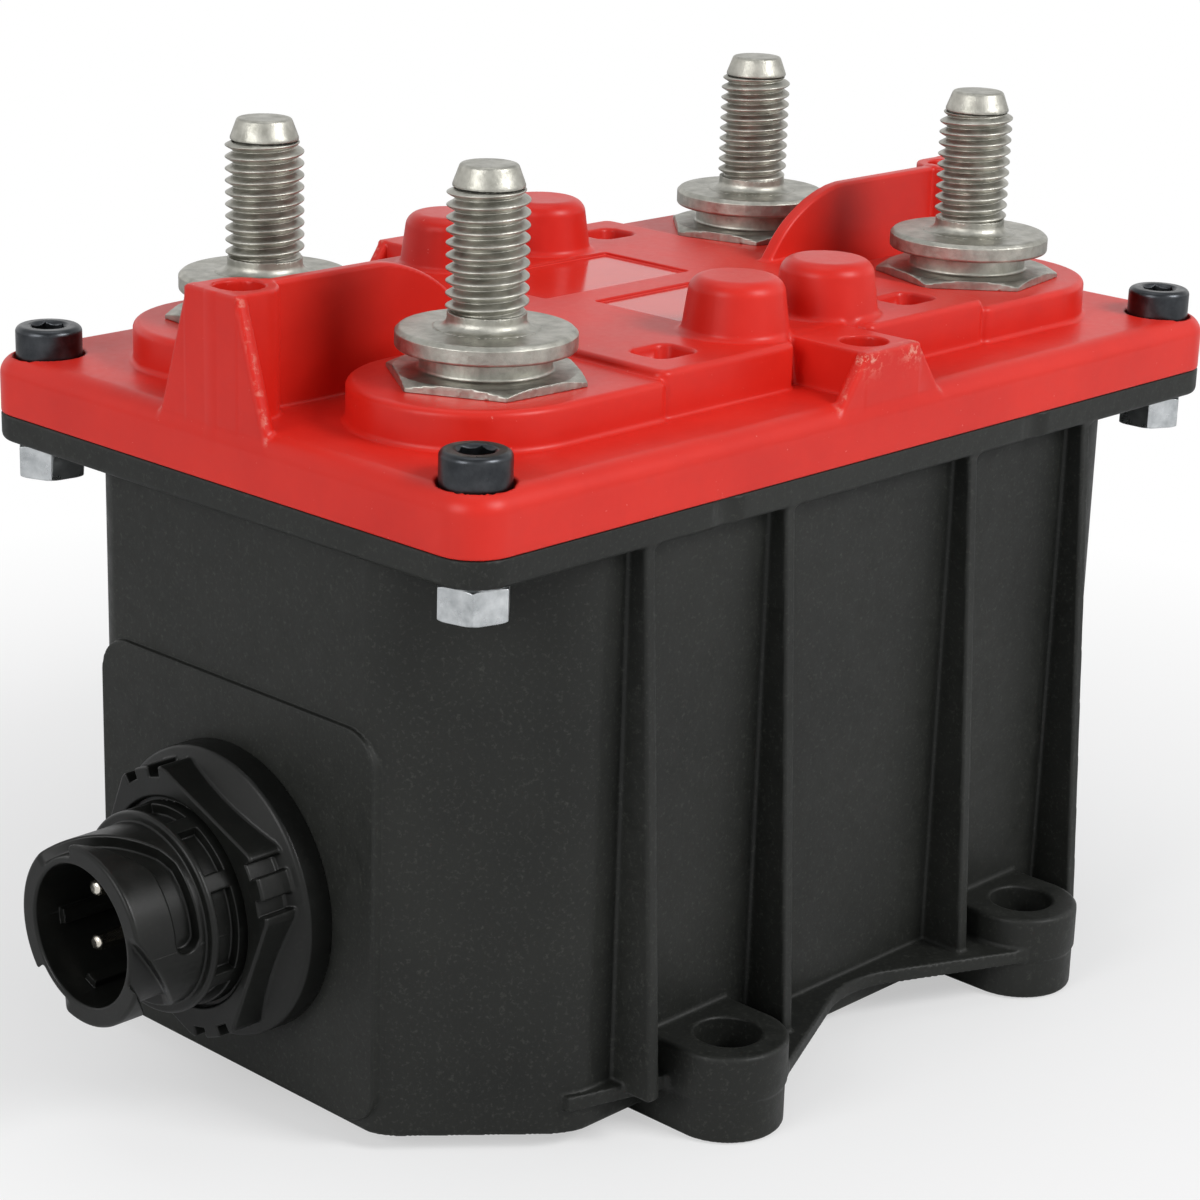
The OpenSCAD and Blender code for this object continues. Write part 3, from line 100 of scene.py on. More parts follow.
def segment(x, y, x1, y1, x2, y2):
    dx, dy = x2 - x1, y2 - y1
    t = np.clip(((x - x1) * dx + (y - y1) * dy) / (dx * dx + dy * dy), 0, 1)
    return np.hypot(x - x1 - t * dx, y - y1 - t * dy)


def polygon(x, y, points):
    """Distance to a closed polygon, negative inside."""
    d = np.full(x.shape, 1e9)
    inside = np.zeros(x.shape, bool)
    for (x1, y1), (x2, y2) in zip(points, points[1:] + points[:1]):
        d = np.minimum(d, segment(x, y, x1, y1, x2, y2))
        if y1 != y2:
            inside ^= ((y1 > y) != (y2 > y)) & (x < (x2 - x1) * (y - y1) / (y2 - y1) + x1)
    return np.where(inside, -d, d)


# Coarse steps within which the surface can pass a coarse point, and points per evaluation
SURE, BATCH = 1.9, 400000


def surface(field, low, high, step):
    """Vertices and outward quads on the field's zero level."""
    low = np.array(low, float)
    n = np.ceil((np.array(high, float) - low) / step).astype(int) + 1
    block = 4
    coarse_step = step * block
    axes = [low[i] + coarse_step * np.arange(n[i] // block + 2) for i in range(3)]
    grid = np.meshgrid(*axes, indexing="ij")
    shape = grid[0].shape
    coarse = field(np.stack([g.ravel() for g in grid], 1)).reshape(shape)
    near = np.abs(coarse) < coarse_step * SURE
    values = coarse.astype(np.float32)
    for axis in range(3):
        values = np.repeat(values, block, axis)
        near = np.repeat(near, block, axis)
    h = block // 2
    window = tuple(slice(h, h + n[i]) for i in range(3))
    values = values[window].copy()
    idx = np.argwhere(near[window])
    out = np.empty(len(idx), np.float32)
    for s in range(0, len(idx), BATCH):
        out[s:s + BATCH] = field(low + idx[s:s + BATCH] * step)
    values[idx[:, 0], idx[:, 1], idx[:, 2]] = out
    inside = values < 0
    count = np.zeros(n - 1, np.int8)
    for i in (0, 1):
        for j in (0, 1):
            for k in (0, 1):
                count += inside[i:n[0] - 1 + i, j:n[1] - 1 + j, k:n[2] - 1 + k]
    cells = np.argwhere((count > 0) & (count < 8))
    number = np.full(n - 1, -1, np.int32)
    number[cells[:, 0], cells[:, 1], cells[:, 2]] = np.arange(len(cells))
    corners = np.array([(i, j, k) for i in (0, 1) for j in (0, 1) for k in (0, 1)])
    v = np.stack([values[cells[:, 0] + a, cells[:, 1] + b, cells[:, 2] + c] for a, b, c in corners], 1)
    total = np.zeros((len(cells), 3))
    hits = np.zeros(len(cells))
    for a in range(8):
        for b in range(a + 1, 8):
            if np.abs(corners[a] - corners[b]).sum() == 1:
                cross = (v[:, a] < 0) != (v[:, b] < 0)
                t = np.where(cross, v[:, a] / np.where(cross, v[:, a] - v[:, b], 1), 0)
                total += cross[:, None] * (corners[a] + t[:, None] * (corners[b] - corners[a]))
                hits += cross
    verts = low + (cells + total / hits[:, None]) * step
    quads = []
    for axis in range(3):
        u, w = [(1, 2), (2, 0), (0, 1)][axis]
        a = [slice(None)] * 3
        b = [slice(None)] * 3
        a[axis], b[axis] = slice(0, -1), slice(1, None)
        first, second = inside[tuple(a)], inside[tuple(b)]
        e = np.argwhere(first != second)
        e = e[(e[:, u] > 0) & (e[:, w] > 0) & (e[:, u] < n[u] - 1) & (e[:, w] < n[w] - 1)]
        outward = first[e[:, 0], e[:, 1], e[:, 2]]
        quad = []
        for du, dw in ((-1, -1), (0, -1), (0, 0), (-1, 0)):
            q = e.copy()
            q[:, u] += du
            q[:, w] += dw
            quad.append(number[q[:, 0], q[:, 1], q[:, 2]])
        quad = np.stack(quad, 1)
        quad[~outward] = quad[~outward][:, ::-1]
        quads.append(quad)
    return verts, np.concatenate(quads)


# Corners of a tetrahedron, to take a gradient with four samples
TETRA = np.array([(1, -1, -1), (-1, -1, 1), (-1, 1, -1), (1, 1, 1)], float)
TINY = 1e-9


def gradient(field, p, h):
    g = sum(t * field(p + h * t)[:, None] for t in TETRA)
    return g / np.maximum(np.linalg.norm(g, axis=1, keepdims=True), TINY)


def settle(field, p, reach, h):
    """Moves points onto the surface, each at most by reach."""
    start = p.copy()
    for _ in range(3):
        p = p - field(p)[:, None] * gradient(field, p, h)
        move = p - start
        length = np.linalg.norm(move, axis=1, keepdims=True)
        p = start + move * np.minimum(1, reach / np.maximum(length, TINY))
    return p


def mesh_of(name, verts, faces):
    mesh = bpy.data.meshes.new(name)
    size = faces.shape[1]
    mesh.vertices.add(len(verts))
    mesh.vertices.foreach_set("co", (verts * MM).astype(np.float32).ravel())
    mesh.loops.add(size * len(faces))
    mesh.loops.foreach_set("vertex_index", faces.astype(np.int32).ravel())
    mesh.polygons.add(len(faces))
    mesh.polygons.foreach_set("loop_start", np.arange(0, size * len(faces), size, dtype=np.int32))
    mesh.update(calc_edges=True)
    mesh.validate()
    return mesh


def add(name, mesh, material, body=FIXED, at=(0, 0, 0), turn=0.0):
    ob = bpy.data.objects.new(name, mesh)
    ob.location = Vector(at) * MM
    ob.rotation_euler = (0, 0, math.radians(turn))
    bpy.context.scene.collection.objects.link(ob)
    if material and not mesh.materials:
        mesh.materials.append(material)
    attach(ob, body)
    return ob


def carve(name, field, low, high, step, keep):
    """A mesh of the field: dense first, then thinned to a share and set back on the surface."""
    step = step * ROUGH
    verts, quads = surface(field, low, high, step)
    verts = settle(field, verts, step, step * 0.1)
    dense = mesh_of(name, verts, quads)
    ob = bpy.data.objects.new("dense", dense)
    bpy.context.scene.collection.objects.link(ob)
    thin = ob.modifiers.new("thin", "DECIMATE")
    thin.ratio = keep
    graph = bpy.context.evaluated_depsgraph_get()
    mesh = bpy.data.meshes.new_from_object(ob.evaluated_get(graph))
    bpy.data.objects.remove(ob)
    bpy.data.meshes.remove(dense)
    mesh.name = name
    co = np.empty(len(mesh.vertices) * 3)
    mesh.vertices.foreach_get("co", co)
    co = settle(field, co.reshape(-1, 3) * 1000, step * 0.5, step * 0.1)
    mesh.vertices.foreach_set("co", (co * MM).astype(np.float32).ravel())
    mesh.update()
    mesh.polygons.foreach_set("use_smooth", np.ones(len(mesh.polygons), bool))
    mesh.normals_split_custom_set_from_vertices(gradient(field, co, step * 0.2))
    return mesh, co


def paint(mesh, name, values):
    layer = mesh.attributes.new(name, "FLOAT", "POINT")
    layer.data.foreach_set("value", np.clip(values, 0, 1).astype(np.float32))


# Materials

BUMP_DEPTH = 0.0001


class Nodes:
    """A material's node tree, built a node at a time."""

    def __init__(self, name):
        self.material = bpy.data.materials.new(name)
        self.material.use_nodes = True
        self.tree = self.material.node_tree
        self.tree.nodes.clear()
        self.shader = self.node("ShaderNodeBsdfPrincipled")
        self.link(self.shader.outputs[0], self.node("ShaderNodeOutputMaterial").inputs[0])
        self.coord = self.node("ShaderNodeNewGeometry").outputs["Position"]

    def node(self, kind, **settings):
        n = self.tree.nodes.new(kind)
        for key, value in settings.items():
            setattr(n, key, value)
        return n

    def link(self, a, b):
        self.tree.links.new(a, b)

    def set(self, **values):
        for key, value in values.items():
            self.shader.inputs[key.replace("_", " ")].default_value = value

    def noise(self, scale, detail=3.0, roughness=0.5, stretch=None):
        n = self.node("ShaderNodeTexNoise")
        n.inputs["Scale"].default_value = scale
        n.inputs["Detail"].default_value = detail
        n.inputs["Roughness"].default_value = roughness
        vector = self.coord
        if stretch:
            m = self.node("ShaderNodeMapping")
            m.inputs["Scale"].default_value = stretch
            self.link(self.coord, m.inputs[0])
            vector = m.outputs[0]
        self.link(vector, n.inputs["Vector"])
        return n.outputs[0]

    def ramp(self, value, stops):
        r = self.node("ShaderNodeValToRGB")
        els = r.color_ramp.elements
        while len(els) < len(stops):
            els.new(0.5)
        for el, (at, c) in zip(els, stops):
            el.position = at
            el.color = (c, c, c, 1) if isinstance(c, (int, float)) else (*c, 1)
        self.link(value, r.inputs[0])
        return r.outputs[0]

    def math(self, op, a, b):
        m = self.node("ShaderNodeMath", operation=op)
        for socket, v in zip(m.inputs, (a, b)):
            if isinstance(v, (int, float)):
                socket.default_value = v
            else:
                self.link(v, socket)
        return m.outputs[0]

    def mix(self, factor, a, b):
        m = self.node("ShaderNodeMix", data_type="RGBA")
        for socket, v in ((m.inputs[0], factor), (m.inputs[6], a), (m.inputs[7], b)):
            if isinstance(v, (int, float)):
                socket.default_value = v
            elif isinstance(v, tuple):
                socket.default_value = (*v, 1)
            else:
                self.link(v, socket)
        return m.outputs[2]

    def attribute(self, name):
        return self.node("ShaderNodeAttribute", attribute_name=name).outputs["Fac"]

    def bump(self, height, strength):
        b = self.node("ShaderNodeBump")
        b.inputs["Strength"].default_value = strength
        b.inputs["Distance"].default_value = BUMP_DEPTH
        self.link(height, b.inputs["Height"])
        return b.outputs[0]

    def to(self, socket, output):
        self.link(output, self.shader.inputs[socket])


def red_material(name, worn_and_highlit):
    """Red moulding. The marked one has pale scuffs and painted highlight where the mesh's attribute says,
    fine dust, and smooth panels.
    """
    n = Nodes(name)
    n.set(Coat_Weight=0.05, Coat_Roughness=0.25, Specular_IOR_Level=0.3)
    cloud = n.noise(60, 4, 0.6)
    fine = n.noise(900, 3, 0.6)
    base = n.mix(n.ramp(cloud, [(0.35, 0.0), (0.65, 1.0)]), (0.64, 0.017, 0.009), (0.72, 0.024, 0.013))
    blend = n.math("ADD", n.math("MULTIPLY", cloud, 0.6), n.math("MULTIPLY", fine, 0.4))
    rough = n.ramp(blend, [(0.3, 0.34), (0.7, 0.46)])
    if worn_and_highlit:
        # Pale spots from the mesh's attribute: scuffs, plus painted highlight along the buttress edges
        pale_spots = n.ramp(n.noise(900, 5, 0.75), [(0.50, 0.0), (0.60, 1.0)])
        wear_and_highlight = n.math("MULTIPLY", n.attribute("wear_and_highlight"), pale_spots)
        base = n.mix(wear_and_highlight, base, (0.78, 0.34, 0.26))
        dust = n.math("MULTIPLY", n.ramp(n.noise(1900, 2, 0.5), [(0.74, 0.0), (0.79, 1.0)]), 0.35)
        base = n.mix(dust, base, (0.85, 0.42, 0.36))
        rough = n.mix(n.attribute("smooth"), rough, (0.13, 0.13, 0.13))
    n.to("Base Color", base)
    n.to("Roughness", rough)
    n.to("Normal", n.bump(n.noise(700, 4, 0.6), 0.10))
    return n.material


BLACKS = ((0.0100, 0.0108, 0.0096), (0.0190, 0.0200, 0.0176), (0.075, 0.078, 0.068))


def black_material(name, tone=1.0, rough=(0.42, 0.58), speck=0.5, grain=0.22):
    """Black moulding with dim clouds and pale flecks, its colours scaled by tone."""
    n = Nodes(name)
    n.set(Specular_IOR_Level=0.26)
    dark, light, fleck = (tuple(c * tone for c in colour) for colour in BLACKS)
    clouds = n.ramp(n.noise(25, 5, 0.65), [(0.3, 0.0), (0.7, 1.0)])
    flecks = n.ramp(n.noise(1800, 3, 0.7), [(0.55, 0.0), (0.80, 1.0)])
    base = n.mix(n.math("MULTIPLY", flecks, speck), n.mix(clouds, dark, light), fleck)
    n.to("Base Color", base)
    n.to("Roughness", n.ramp(n.noise(400, 4, 0.6), [(0.3, rough[0]), (0.7, rough[1])]))
    n.to("Normal", n.bump(n.noise(1500, 5, 0.75), grain))
    return n.material


def metal_material(name, dark, light, rough=(0.3, 0.45), grain=0.2, scale=900, stretch=None):
    n = Nodes(name)
    n.set(Metallic=1.0)
    n.to("Base Color", n.mix(n.ramp(n.noise(450, 4, 0.6), [(0.3, 0.0), (0.7, 1.0)]), dark, light))
    n.to("Roughness", n.ramp(n.noise(500, 4, 0.6), [(0.3, rough[0]), (0.7, rough[1])]))
    n.to("Normal", n.bump(n.noise(scale, 4, 0.7, stretch), grain))
    return n.material


def plain_material(name, dark, light, rough=(0.4, 0.55), scale=300, stretch=None):
    n = Nodes(name)
    n.set(Specular_IOR_Level=0.5)
    shade = n.ramp(n.noise(scale, 4, 0.6, stretch), [(0.35, 0.0), (0.65, 1.0)])
    n.to("Base Color", n.mix(shade, dark, light))
    n.to("Roughness", n.ramp(n.noise(200, 3, 0.6), [(0.3, rough[0]), (0.7, rough[1])]))
    n.to("Normal", n.bump(n.noise(1200, 3, 0.6, stretch), 0.15))
    return n.material


red = red_material("red_moulding", True)
black = black_material("black_moulding")
connector_black = black_material("connector_moulding", 0.45, (0.30, 0.42), 0.3, 0.14)
inner_black = black_material("inner_moulding")

stud_metal = metal_material("stud_metal", (0.29, 0.285, 0.25), (0.50, 0.49, 0.44), (0.36, 0.50), 0.5, 1500)
black_steel = metal_material("black_steel", (0.035, 0.038, 0.042), (0.07, 0.074, 0.08), (0.26, 0.40), 0.12)
zinc_steel = metal_material("zinc_steel", (0.40, 0.42, 0.43), (0.68, 0.70, 0.71), (0.24, 0.38), 0.25)
bare_steel = metal_material("bare_steel", (0.42, 0.42, 0.42), (0.56, 0.56, 0.56), (0.28, 0.4), 0.15,
                            700, (1, 1, 8))
pin_metal = metal_material("pin_metal", (0.62, 0.58, 0.50), (0.78, 0.74, 0.66), (0.16, 0.26), 0.05)
copper = metal_material("copper_bar", (0.72, 0.34, 0.20), (0.84, 0.45, 0.28), (0.24, 0.38), 0.12,
                        700, (8, 1, 1))
silver = metal_material("contact_silver", (0.78, 0.78, 0.76), (0.90, 0.90, 0.88), (0.18, 0.3), 0.08)

rubber = plain_material("black_rubber", (0.012, 0.012, 0.012), (0.022, 0.022, 0.022), (0.65, 0.8))
amber = plain_material("amber_plastic", (0.50, 0.34, 0.13), (0.60, 0.42, 0.18), (0.35, 0.5))
winding = plain_material("winding_wire", (0.30, 0.07, 0.025), (0.48, 0.13, 0.05), (0.25, 0.38),
                         900, (1, 1, 9))
magnet = plain_material("magnet_black", (0.03, 0.03, 0.035), (0.06, 0.06, 0.065), (0.5, 0.65))
board_green = plain_material("board_green", (0.010, 0.10, 0.035), (0.018, 0.15, 0.055), (0.25, 0.4))
component_black = plain_material("component_black", (0.012, 0.012, 0.014), (0.03, 0.03, 0.032), (0.3, 0.45))
wire_red = plain_material("wire_red", (0.50, 0.02, 0.015), (0.60, 0.035, 0.025), (0.3, 0.42))
wire_black = plain_material("wire_black", (0.015, 0.015, 0.015), (0.03, 0.03, 0.03), (0.3, 0.42))

by_slot = {
    "red_plastic": red_material("red_inner", False), "black_plastic": inner_black,
    "connector_plastic": connector_black, "stud_metal": stud_metal, "black_steel": black_steel,
    "zinc_steel": zinc_steel, "bare_steel": bare_steel, "spring_steel": bare_steel, "copper_bar": copper,
    "contact_silver": silver, "black_rubber": rubber, "amber_plastic": amber, "winding": winding,
    "magnet_black": magnet, "board_green": board_green, "component_black": component_black,
    "wire_red": wire_red, "wire_black": wire_black,
}
slot_of = {}
for row in frame["record"].get("materials", []):
    for name in row.get("nodes", []):
        slot_of[name] = row.get("slot")
for name, ob in frame["nodes"].items():
    for s in ob.material_slots:
        s.material = by_slot.get(slot_of.get(name), bare_steel)


# Lid

ROOT_Z = 84
PAD_X, PAD_R, PAD_INNER_X = 48.6, 15.2, 31.0
PLATFORM_X, PLATFORM_Y = 31.7, 34.9
DOME_X, DOME_Y, DOME_R = 8.8, 26, 6.9
TALL_POST = {"outer": 72.1, "half": 4.65, "spread": 5.4, "top": POST_Z}
LOW_POST = {"outer": 44.6, "half": 5.2, "spread": 5.2, "top": PLATFORM_Z}
POST_HOLE_R, TALL_HOLE_Z, LOW_HOLE_Z = 3, 92, 85.5
BUTTRESS_T, BUTTRESS_Z = 2, 86
BARRIER_HALF, BARRIER_BEND, BARRIER_SLOPE = 1, 7.0, math.radians(52)
PANEL_Z, POCKET_Z, SEAL_Z = 93.1, 91.3, 90.9
LOW_ROOM_Z, HIGH_ROOM_Z = 84.5, 90.5


def barrier(ax, ay, z, turn):
    """A thin wall along X, level from the post and bent down towards the middle at turn."""
    sine, cosine = math.sin(BARRIER_SLOPE), math.cos(BARRIER_SLOPE)
    down = -sine * (ax - turn + BARRIER_BEND * sine)
    down = down + cosine * (z - POST_Z + BARRIER_BEND * (1 - cosine))
    profile = edge(z - POST_Z, down, BARRIER_BEND)
    wall = edge(ay - BARRIER_HALF, profile, 0.5)
    return np.maximum(wall, ax - 70)


def buttress(u, v, z, outer, half, spread, top):
    """A plate near the lid's side, u along the lid's outward axis and v across it."""
    fall = top - BUTTRESS_Z
    lean = math.cos(math.atan(spread / fall))
    side = (np.abs(v) - half - spread * (top - z) / fall) * lean
    plate = edge(edge(side, z - top, 0.3), np.maximum(u - outer, outer - BUTTRESS_T - u), 0.75)
    return np.maximum(plate, 85.4 - z)


def panels(x, y):
    """The two smooth panels on the platform."""
    return np.where(y < 0, rect(x, y + 10, 10, 7.5, 0.3), rect(x, y - 10.5, 14, 8, 0.3))


def lid_solid(x, y, z):
    """The lid's outer shape, without its holes."""
    ax, ay = np.abs(x), np.abs(y)
    d = edge(rect(x, y, LID_X, LID_Y, LID_R), z - RIM_Z, 2.6)
    pad = np.hypot(np.maximum(ax - PAD_X, 0), ay - STUD_Y) - PAD_R
    pad = edge(pad, PAD_INNER_X - ax, np.where(ay > STUD_Y, 1.5, 0.05))
    pad = np.maximum(edge(pad, z - PAD_Z, 0.9), ROOT_Z - z)
    d = fillet(d, pad, 0.7)

    platform = rect(x, y, PLATFORM_X, PLATFORM_Y, 1.6)
    notch = rect(x, ay - 36.9, 7.0, 5.0, 1.3)
    platform = edge(platform, -notch, 1.5)
    platform = np.maximum(edge(platform, z - PLATFORM_Z, 0.8), ROOT_Z - z)
    neck = np.maximum(ax - LOW_POST["half"], np.maximum(ay - LOW_POST["outer"], 30 - ay))
    neck = np.maximum(edge(neck, z - PLATFORM_Z, 0.35), ROOT_Z - z)
    platform = fillet(platform, neck, 0.4)
    platform = fillet(platform, buttress(ay, x, z, **LOW_POST), 0.15)
    r = np.hypot(ax - DOME_X, ay - DOME_Y)
    dome = edge((r - DOME_R + (z - PLATFORM_Z) * 0.14) * 0.99, z - DOME_Z, 1.7)
    dome = np.maximum(dome, 88 - z)
    platform = fillet(platform, dome, 0.9)
    d = fillet(d, platform, 0.5)

    post = np.maximum(ay - TALL_POST["half"], np.maximum(ax - TALL_POST["outer"], TALL_POST_X - ax))
    post = np.minimum(post, np.hypot(ax - TALL_POST_X, y) - TALL_POST["half"])
    post = np.maximum(edge(post, z - POST_Z, 0.35), ROOT_Z - z)
    post = fillet(post, buttress(ax, y, z, **TALL_POST), 0.15)
    fence = np.maximum(barrier(ax, ay, z, np.where(x > 0, 37.5, 41.5)), ROOT_Z - z)
    post = fillet(post, fence, 0.5)
    return fillet(d, post, 0.5)


def lid_field(p):
    x, y, z = p.T
    ax, ay = np.abs(x), np.abs(y)
    d = lid_solid(x, y, z)
    slope = (z - PLATFORM_Z) * 0.22
    pocket = rect(ax - 23.7, ay - 27.4, 3.5, 2.9, 1.7) - slope - 0.1
    d = edge(d, -np.maximum(pocket, POCKET_Z - z), 0.35)
    d = np.maximum(d, -np.maximum(panels(x, y), PANEL_Z - z))
    d = edge(d, -np.maximum(np.hypot(ax - TALL_POST_X, y) - POST_HOLE_R, TALL_HOLE_Z - z), 0.3)
    d = edge(d, -np.maximum(np.hypot(x, ay - LOW_POST_Y) - POST_HOLE_R, LOW_HOLE_Z - z), 0.3)
    screw = np.hypot(ax - SCREW_X, ay - SCREW_Y)
    d = edge(d, -np.maximum(screw - 4.5, COUNTERBORE_Z - z), 0.25)
    d = np.maximum(d, SCREW_HOLE_R - screw)
    stud = np.hypot(ax - STUD_X, ay - STUD_Y)
    d = np.maximum(d, 6.1 - stud)
    d = np.maximum(d, -np.maximum(stud - 8.1, SEAL_Z - z))
    room = np.maximum(rect(x, y, 57.7, 31.1, 0.1), z - LOW_ROOM_Z)
    room = np.minimum(room, np.maximum(rect(x, y, 28.7, 28.9, 1), z - HIGH_ROOM_Z))
    d = np.maximum(d, -room)
    return edge(d, SEAM_Z - z, 0.25)


mesh, co = carve("lid_shell", lid_field, (-73.5, -46, 79), (73.5, 46, 104), 0.38, 0.22)
x, y, z = co.T
ax, ay = np.abs(x), np.abs(y)
paint(mesh, "smooth", (panels(x, y) < 0.1) & (np.abs(z - PANEL_Z) < 0.1))
# A pale line runs down the buttresses' outer edges; it is partly wear and partly a painted highlight of the
# rounded edge. Real wear is rubbed on the low front post's top
wear_and_highlight = np.zeros(len(co))
for u, v, post in ((ax, ay, TALL_POST), (ay, ax, LOW_POST)):
    side = post["half"] + post["spread"] * (post["top"] - z) / (post["top"] - BUTTRESS_Z)
    line = np.abs(v - side) + np.maximum(np.abs(u - post["outer"] + 0.5) - 0.4, 0)
    wear_and_highlight = np.maximum(wear_and_highlight, 0.45 * (z > 85.5) * np.exp(-line ** 2 / 0.06))
rubbed = (y < 0) * (ay > 43) * (ax < 6) * np.exp(-np.abs(z - 92.6) / 0.9)
wear_and_highlight = np.maximum(wear_and_highlight, rubbed * np.clip((ax - 0.8) / 2.5, 0, 1))
paint(mesh, "wear_and_highlight", wear_and_highlight)
lid = add("lid_shell", mesh, red)
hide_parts("lid")


# Housing

BODY_X, BODY_Y, CHAMFER_X, CHAMFER_Y, BOTTOM_Z = 68.75, 41.75, 17, 15, 2
FOOT_X, FOOT_Y, FOOT_R, FOOT_HOLE_R, FOOT_Z = 30.5, 48.5, 7.7, 4.2, 11.8
PLATE_Y, PLATE_ARC_R, PLATE_LOW_Z, PLATE_HIGH_Z = 43.95, 15.25, 5.4, 7.4
RIBS_X, RIB_HALF = (18.3, 43.3), 0.9
WALL_T, FLOOR_Z = 3, 6


def octagon(ax, ay, d, r):
    """Plan of the body with its chamfers, set in by d, corners rounded by r."""
    slant = math.hypot(CHAMFER_X, CHAMFER_Y)
    reach = BODY_X * CHAMFER_Y + (BODY_Y - CHAMFER_Y) * CHAMFER_X
    flat = (ax * CHAMFER_Y + ay * CHAMFER_X - reach) / slant
    return edge(edge(ax - BODY_X + d, flat + d, r), edge(ay - BODY_Y + d, flat + d, r), r)


def round_foot(degrees):
    """A point on the foot's side, at an angle below minus X."""
    turn = math.radians(degrees)
    return FOOT_X - FOOT_R * math.cos(turn), FOOT_Y + FOOT_R * math.sin(turn)


# Outline of the foot plate in one quarter: an arc out to the foot, then back to the body
PLATE = [(-5, 38), (-5, PLATE_Y)]
PLATE += [(PLATE_ARC_R * math.sin(a), PLATE_Y + PLATE_ARC_R * (1 - math.cos(a)))
          for a in np.radians(np.arange(3, 24, 3))]
PLATE += [round_foot(44), (FOOT_X, FOOT_Y)]
PLATE += [(FOOT_X + FOOT_R * math.cos(math.radians(20)), FOOT_Y - FOOT_R * math.sin(math.radians(20)))]
PLATE += [(51.75, BODY_Y), (51.75, 38)]


def housing_solid(x, y, z):
    """The housing's outer shape, without its holes and its room."""
    ax, ay = np.abs(x), np.abs(y)
    d = edge(octagon(ax, ay, 0, 2.5), BOTTOM_Z - z, 0.8)
    d = np.maximum(d, z - 78)
    plate = np.full(len(x), 9.0)
    near = z < 12
    plate[near] = edge(polygon(ax[near], ay[near], PLATE), slab(z[near], PLATE_LOW_Z, PLATE_HIGH_Z), 0.3)
    d = fillet(d, plate, 0.5)
    run = ay - (44.4 + 3.8 * (FLANGE_Z - z) / 69)
    for at in RIBS_X:
        rib = edge(np.abs(ax - at) - RIB_HALF, run, 0.35)
        d = fillet(d, np.maximum(rib, np.maximum(40 - ay, slab(z, 6.5, 78))), 0.5)
    foot = np.hypot(ax - FOOT_X, ay - FOOT_Y) - FOOT_R
    foot = np.minimum(foot, np.maximum(np.abs(ax - FOOT_X) - FOOT_R, slab(ay, 35.75, FOOT_Y)))
    foot = foot + 0.25 * np.clip((5.9 - z) / 0.5, 0, 1)
    foot = edge(foot, slab(z, 0, FOOT_Z), 0.6)
    d = fillet(d, foot, 0.6)
    pad = edge(rect(y, z - 28.5, 25.8, 25.5, 5), -69.4 - x, 0.25)
    d = fillet(d, np.maximum(pad, x + 66), 0.15)
    flange = edge(rect(x, y, LID_X, LID_Y, LID_R), FLANGE_Z - z, 0.9)
    d = fillet(d, flange, 0.8)
    return edge(d, z - SEAM_Z, 0.25)


def housing_field(p):
    x, y, z = p.T
    ax, ay = np.abs(x), np.abs(y)
    d = housing_solid(x, y, z)
    room = np.maximum(octagon(ax, ay, WALL_T, 1), FLOOR_Z - z)
    standoff = np.hypot(ay - 25, z - 40.88) - 3
    room = np.maximum(room, -np.maximum(standoff, x + 56.75))
    post = np.hypot(ax - 21.45, ay - 20.2) - 3.5
    d = np.maximum(d, -np.maximum(room, -np.maximum(post, z - FLOOR_Z)))
    d = edge(d, FOOT_HOLE_R - np.hypot(ax - FOOT_X, ay - FOOT_Y), 0.4)
    d = np.maximum(d, SCREW_HOLE_R - np.hypot(ax - SCREW_X, ay - SCREW_Y))
    d = np.maximum(d, -np.maximum(np.hypot(y, z - AXIS_Z) - 13.6, x + 60))
    groove = np.maximum(octagon(ax, ay, -0.6, 0.2), -octagon(ax, ay, 1.6, 0.2))
    return np.maximum(d, -np.maximum(groove, 78.6 - z))


mesh, _ = carve("housing_shell", housing_field, (-73.5, -57.5, -1), (73.5, 57.5, 81), 0.42, 0.2)
housing = add("housing_shell", mesh, black)
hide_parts("housing")


# Connector, with t from its mouth inwards and the angle a from minus Y upwards

MOUTH_R, BARREL_R, FLANGE_R, THREAD_R = 11.4, 12.7, 17, 13.4
BORE_R, BORE_DEPTH, KEY_R = 8.85, 14, 7.9
WINDOW_RIBS = (33, 72, 112, 152, 192, 232, 282, 334)
GROOVE_STARTS = (117.8, -2.2, -122.2)
KEYS = (10, 70, 188, 250)


def angle_gap(a, centre):
    return np.abs((a - centre + 180) % 360 - 180)


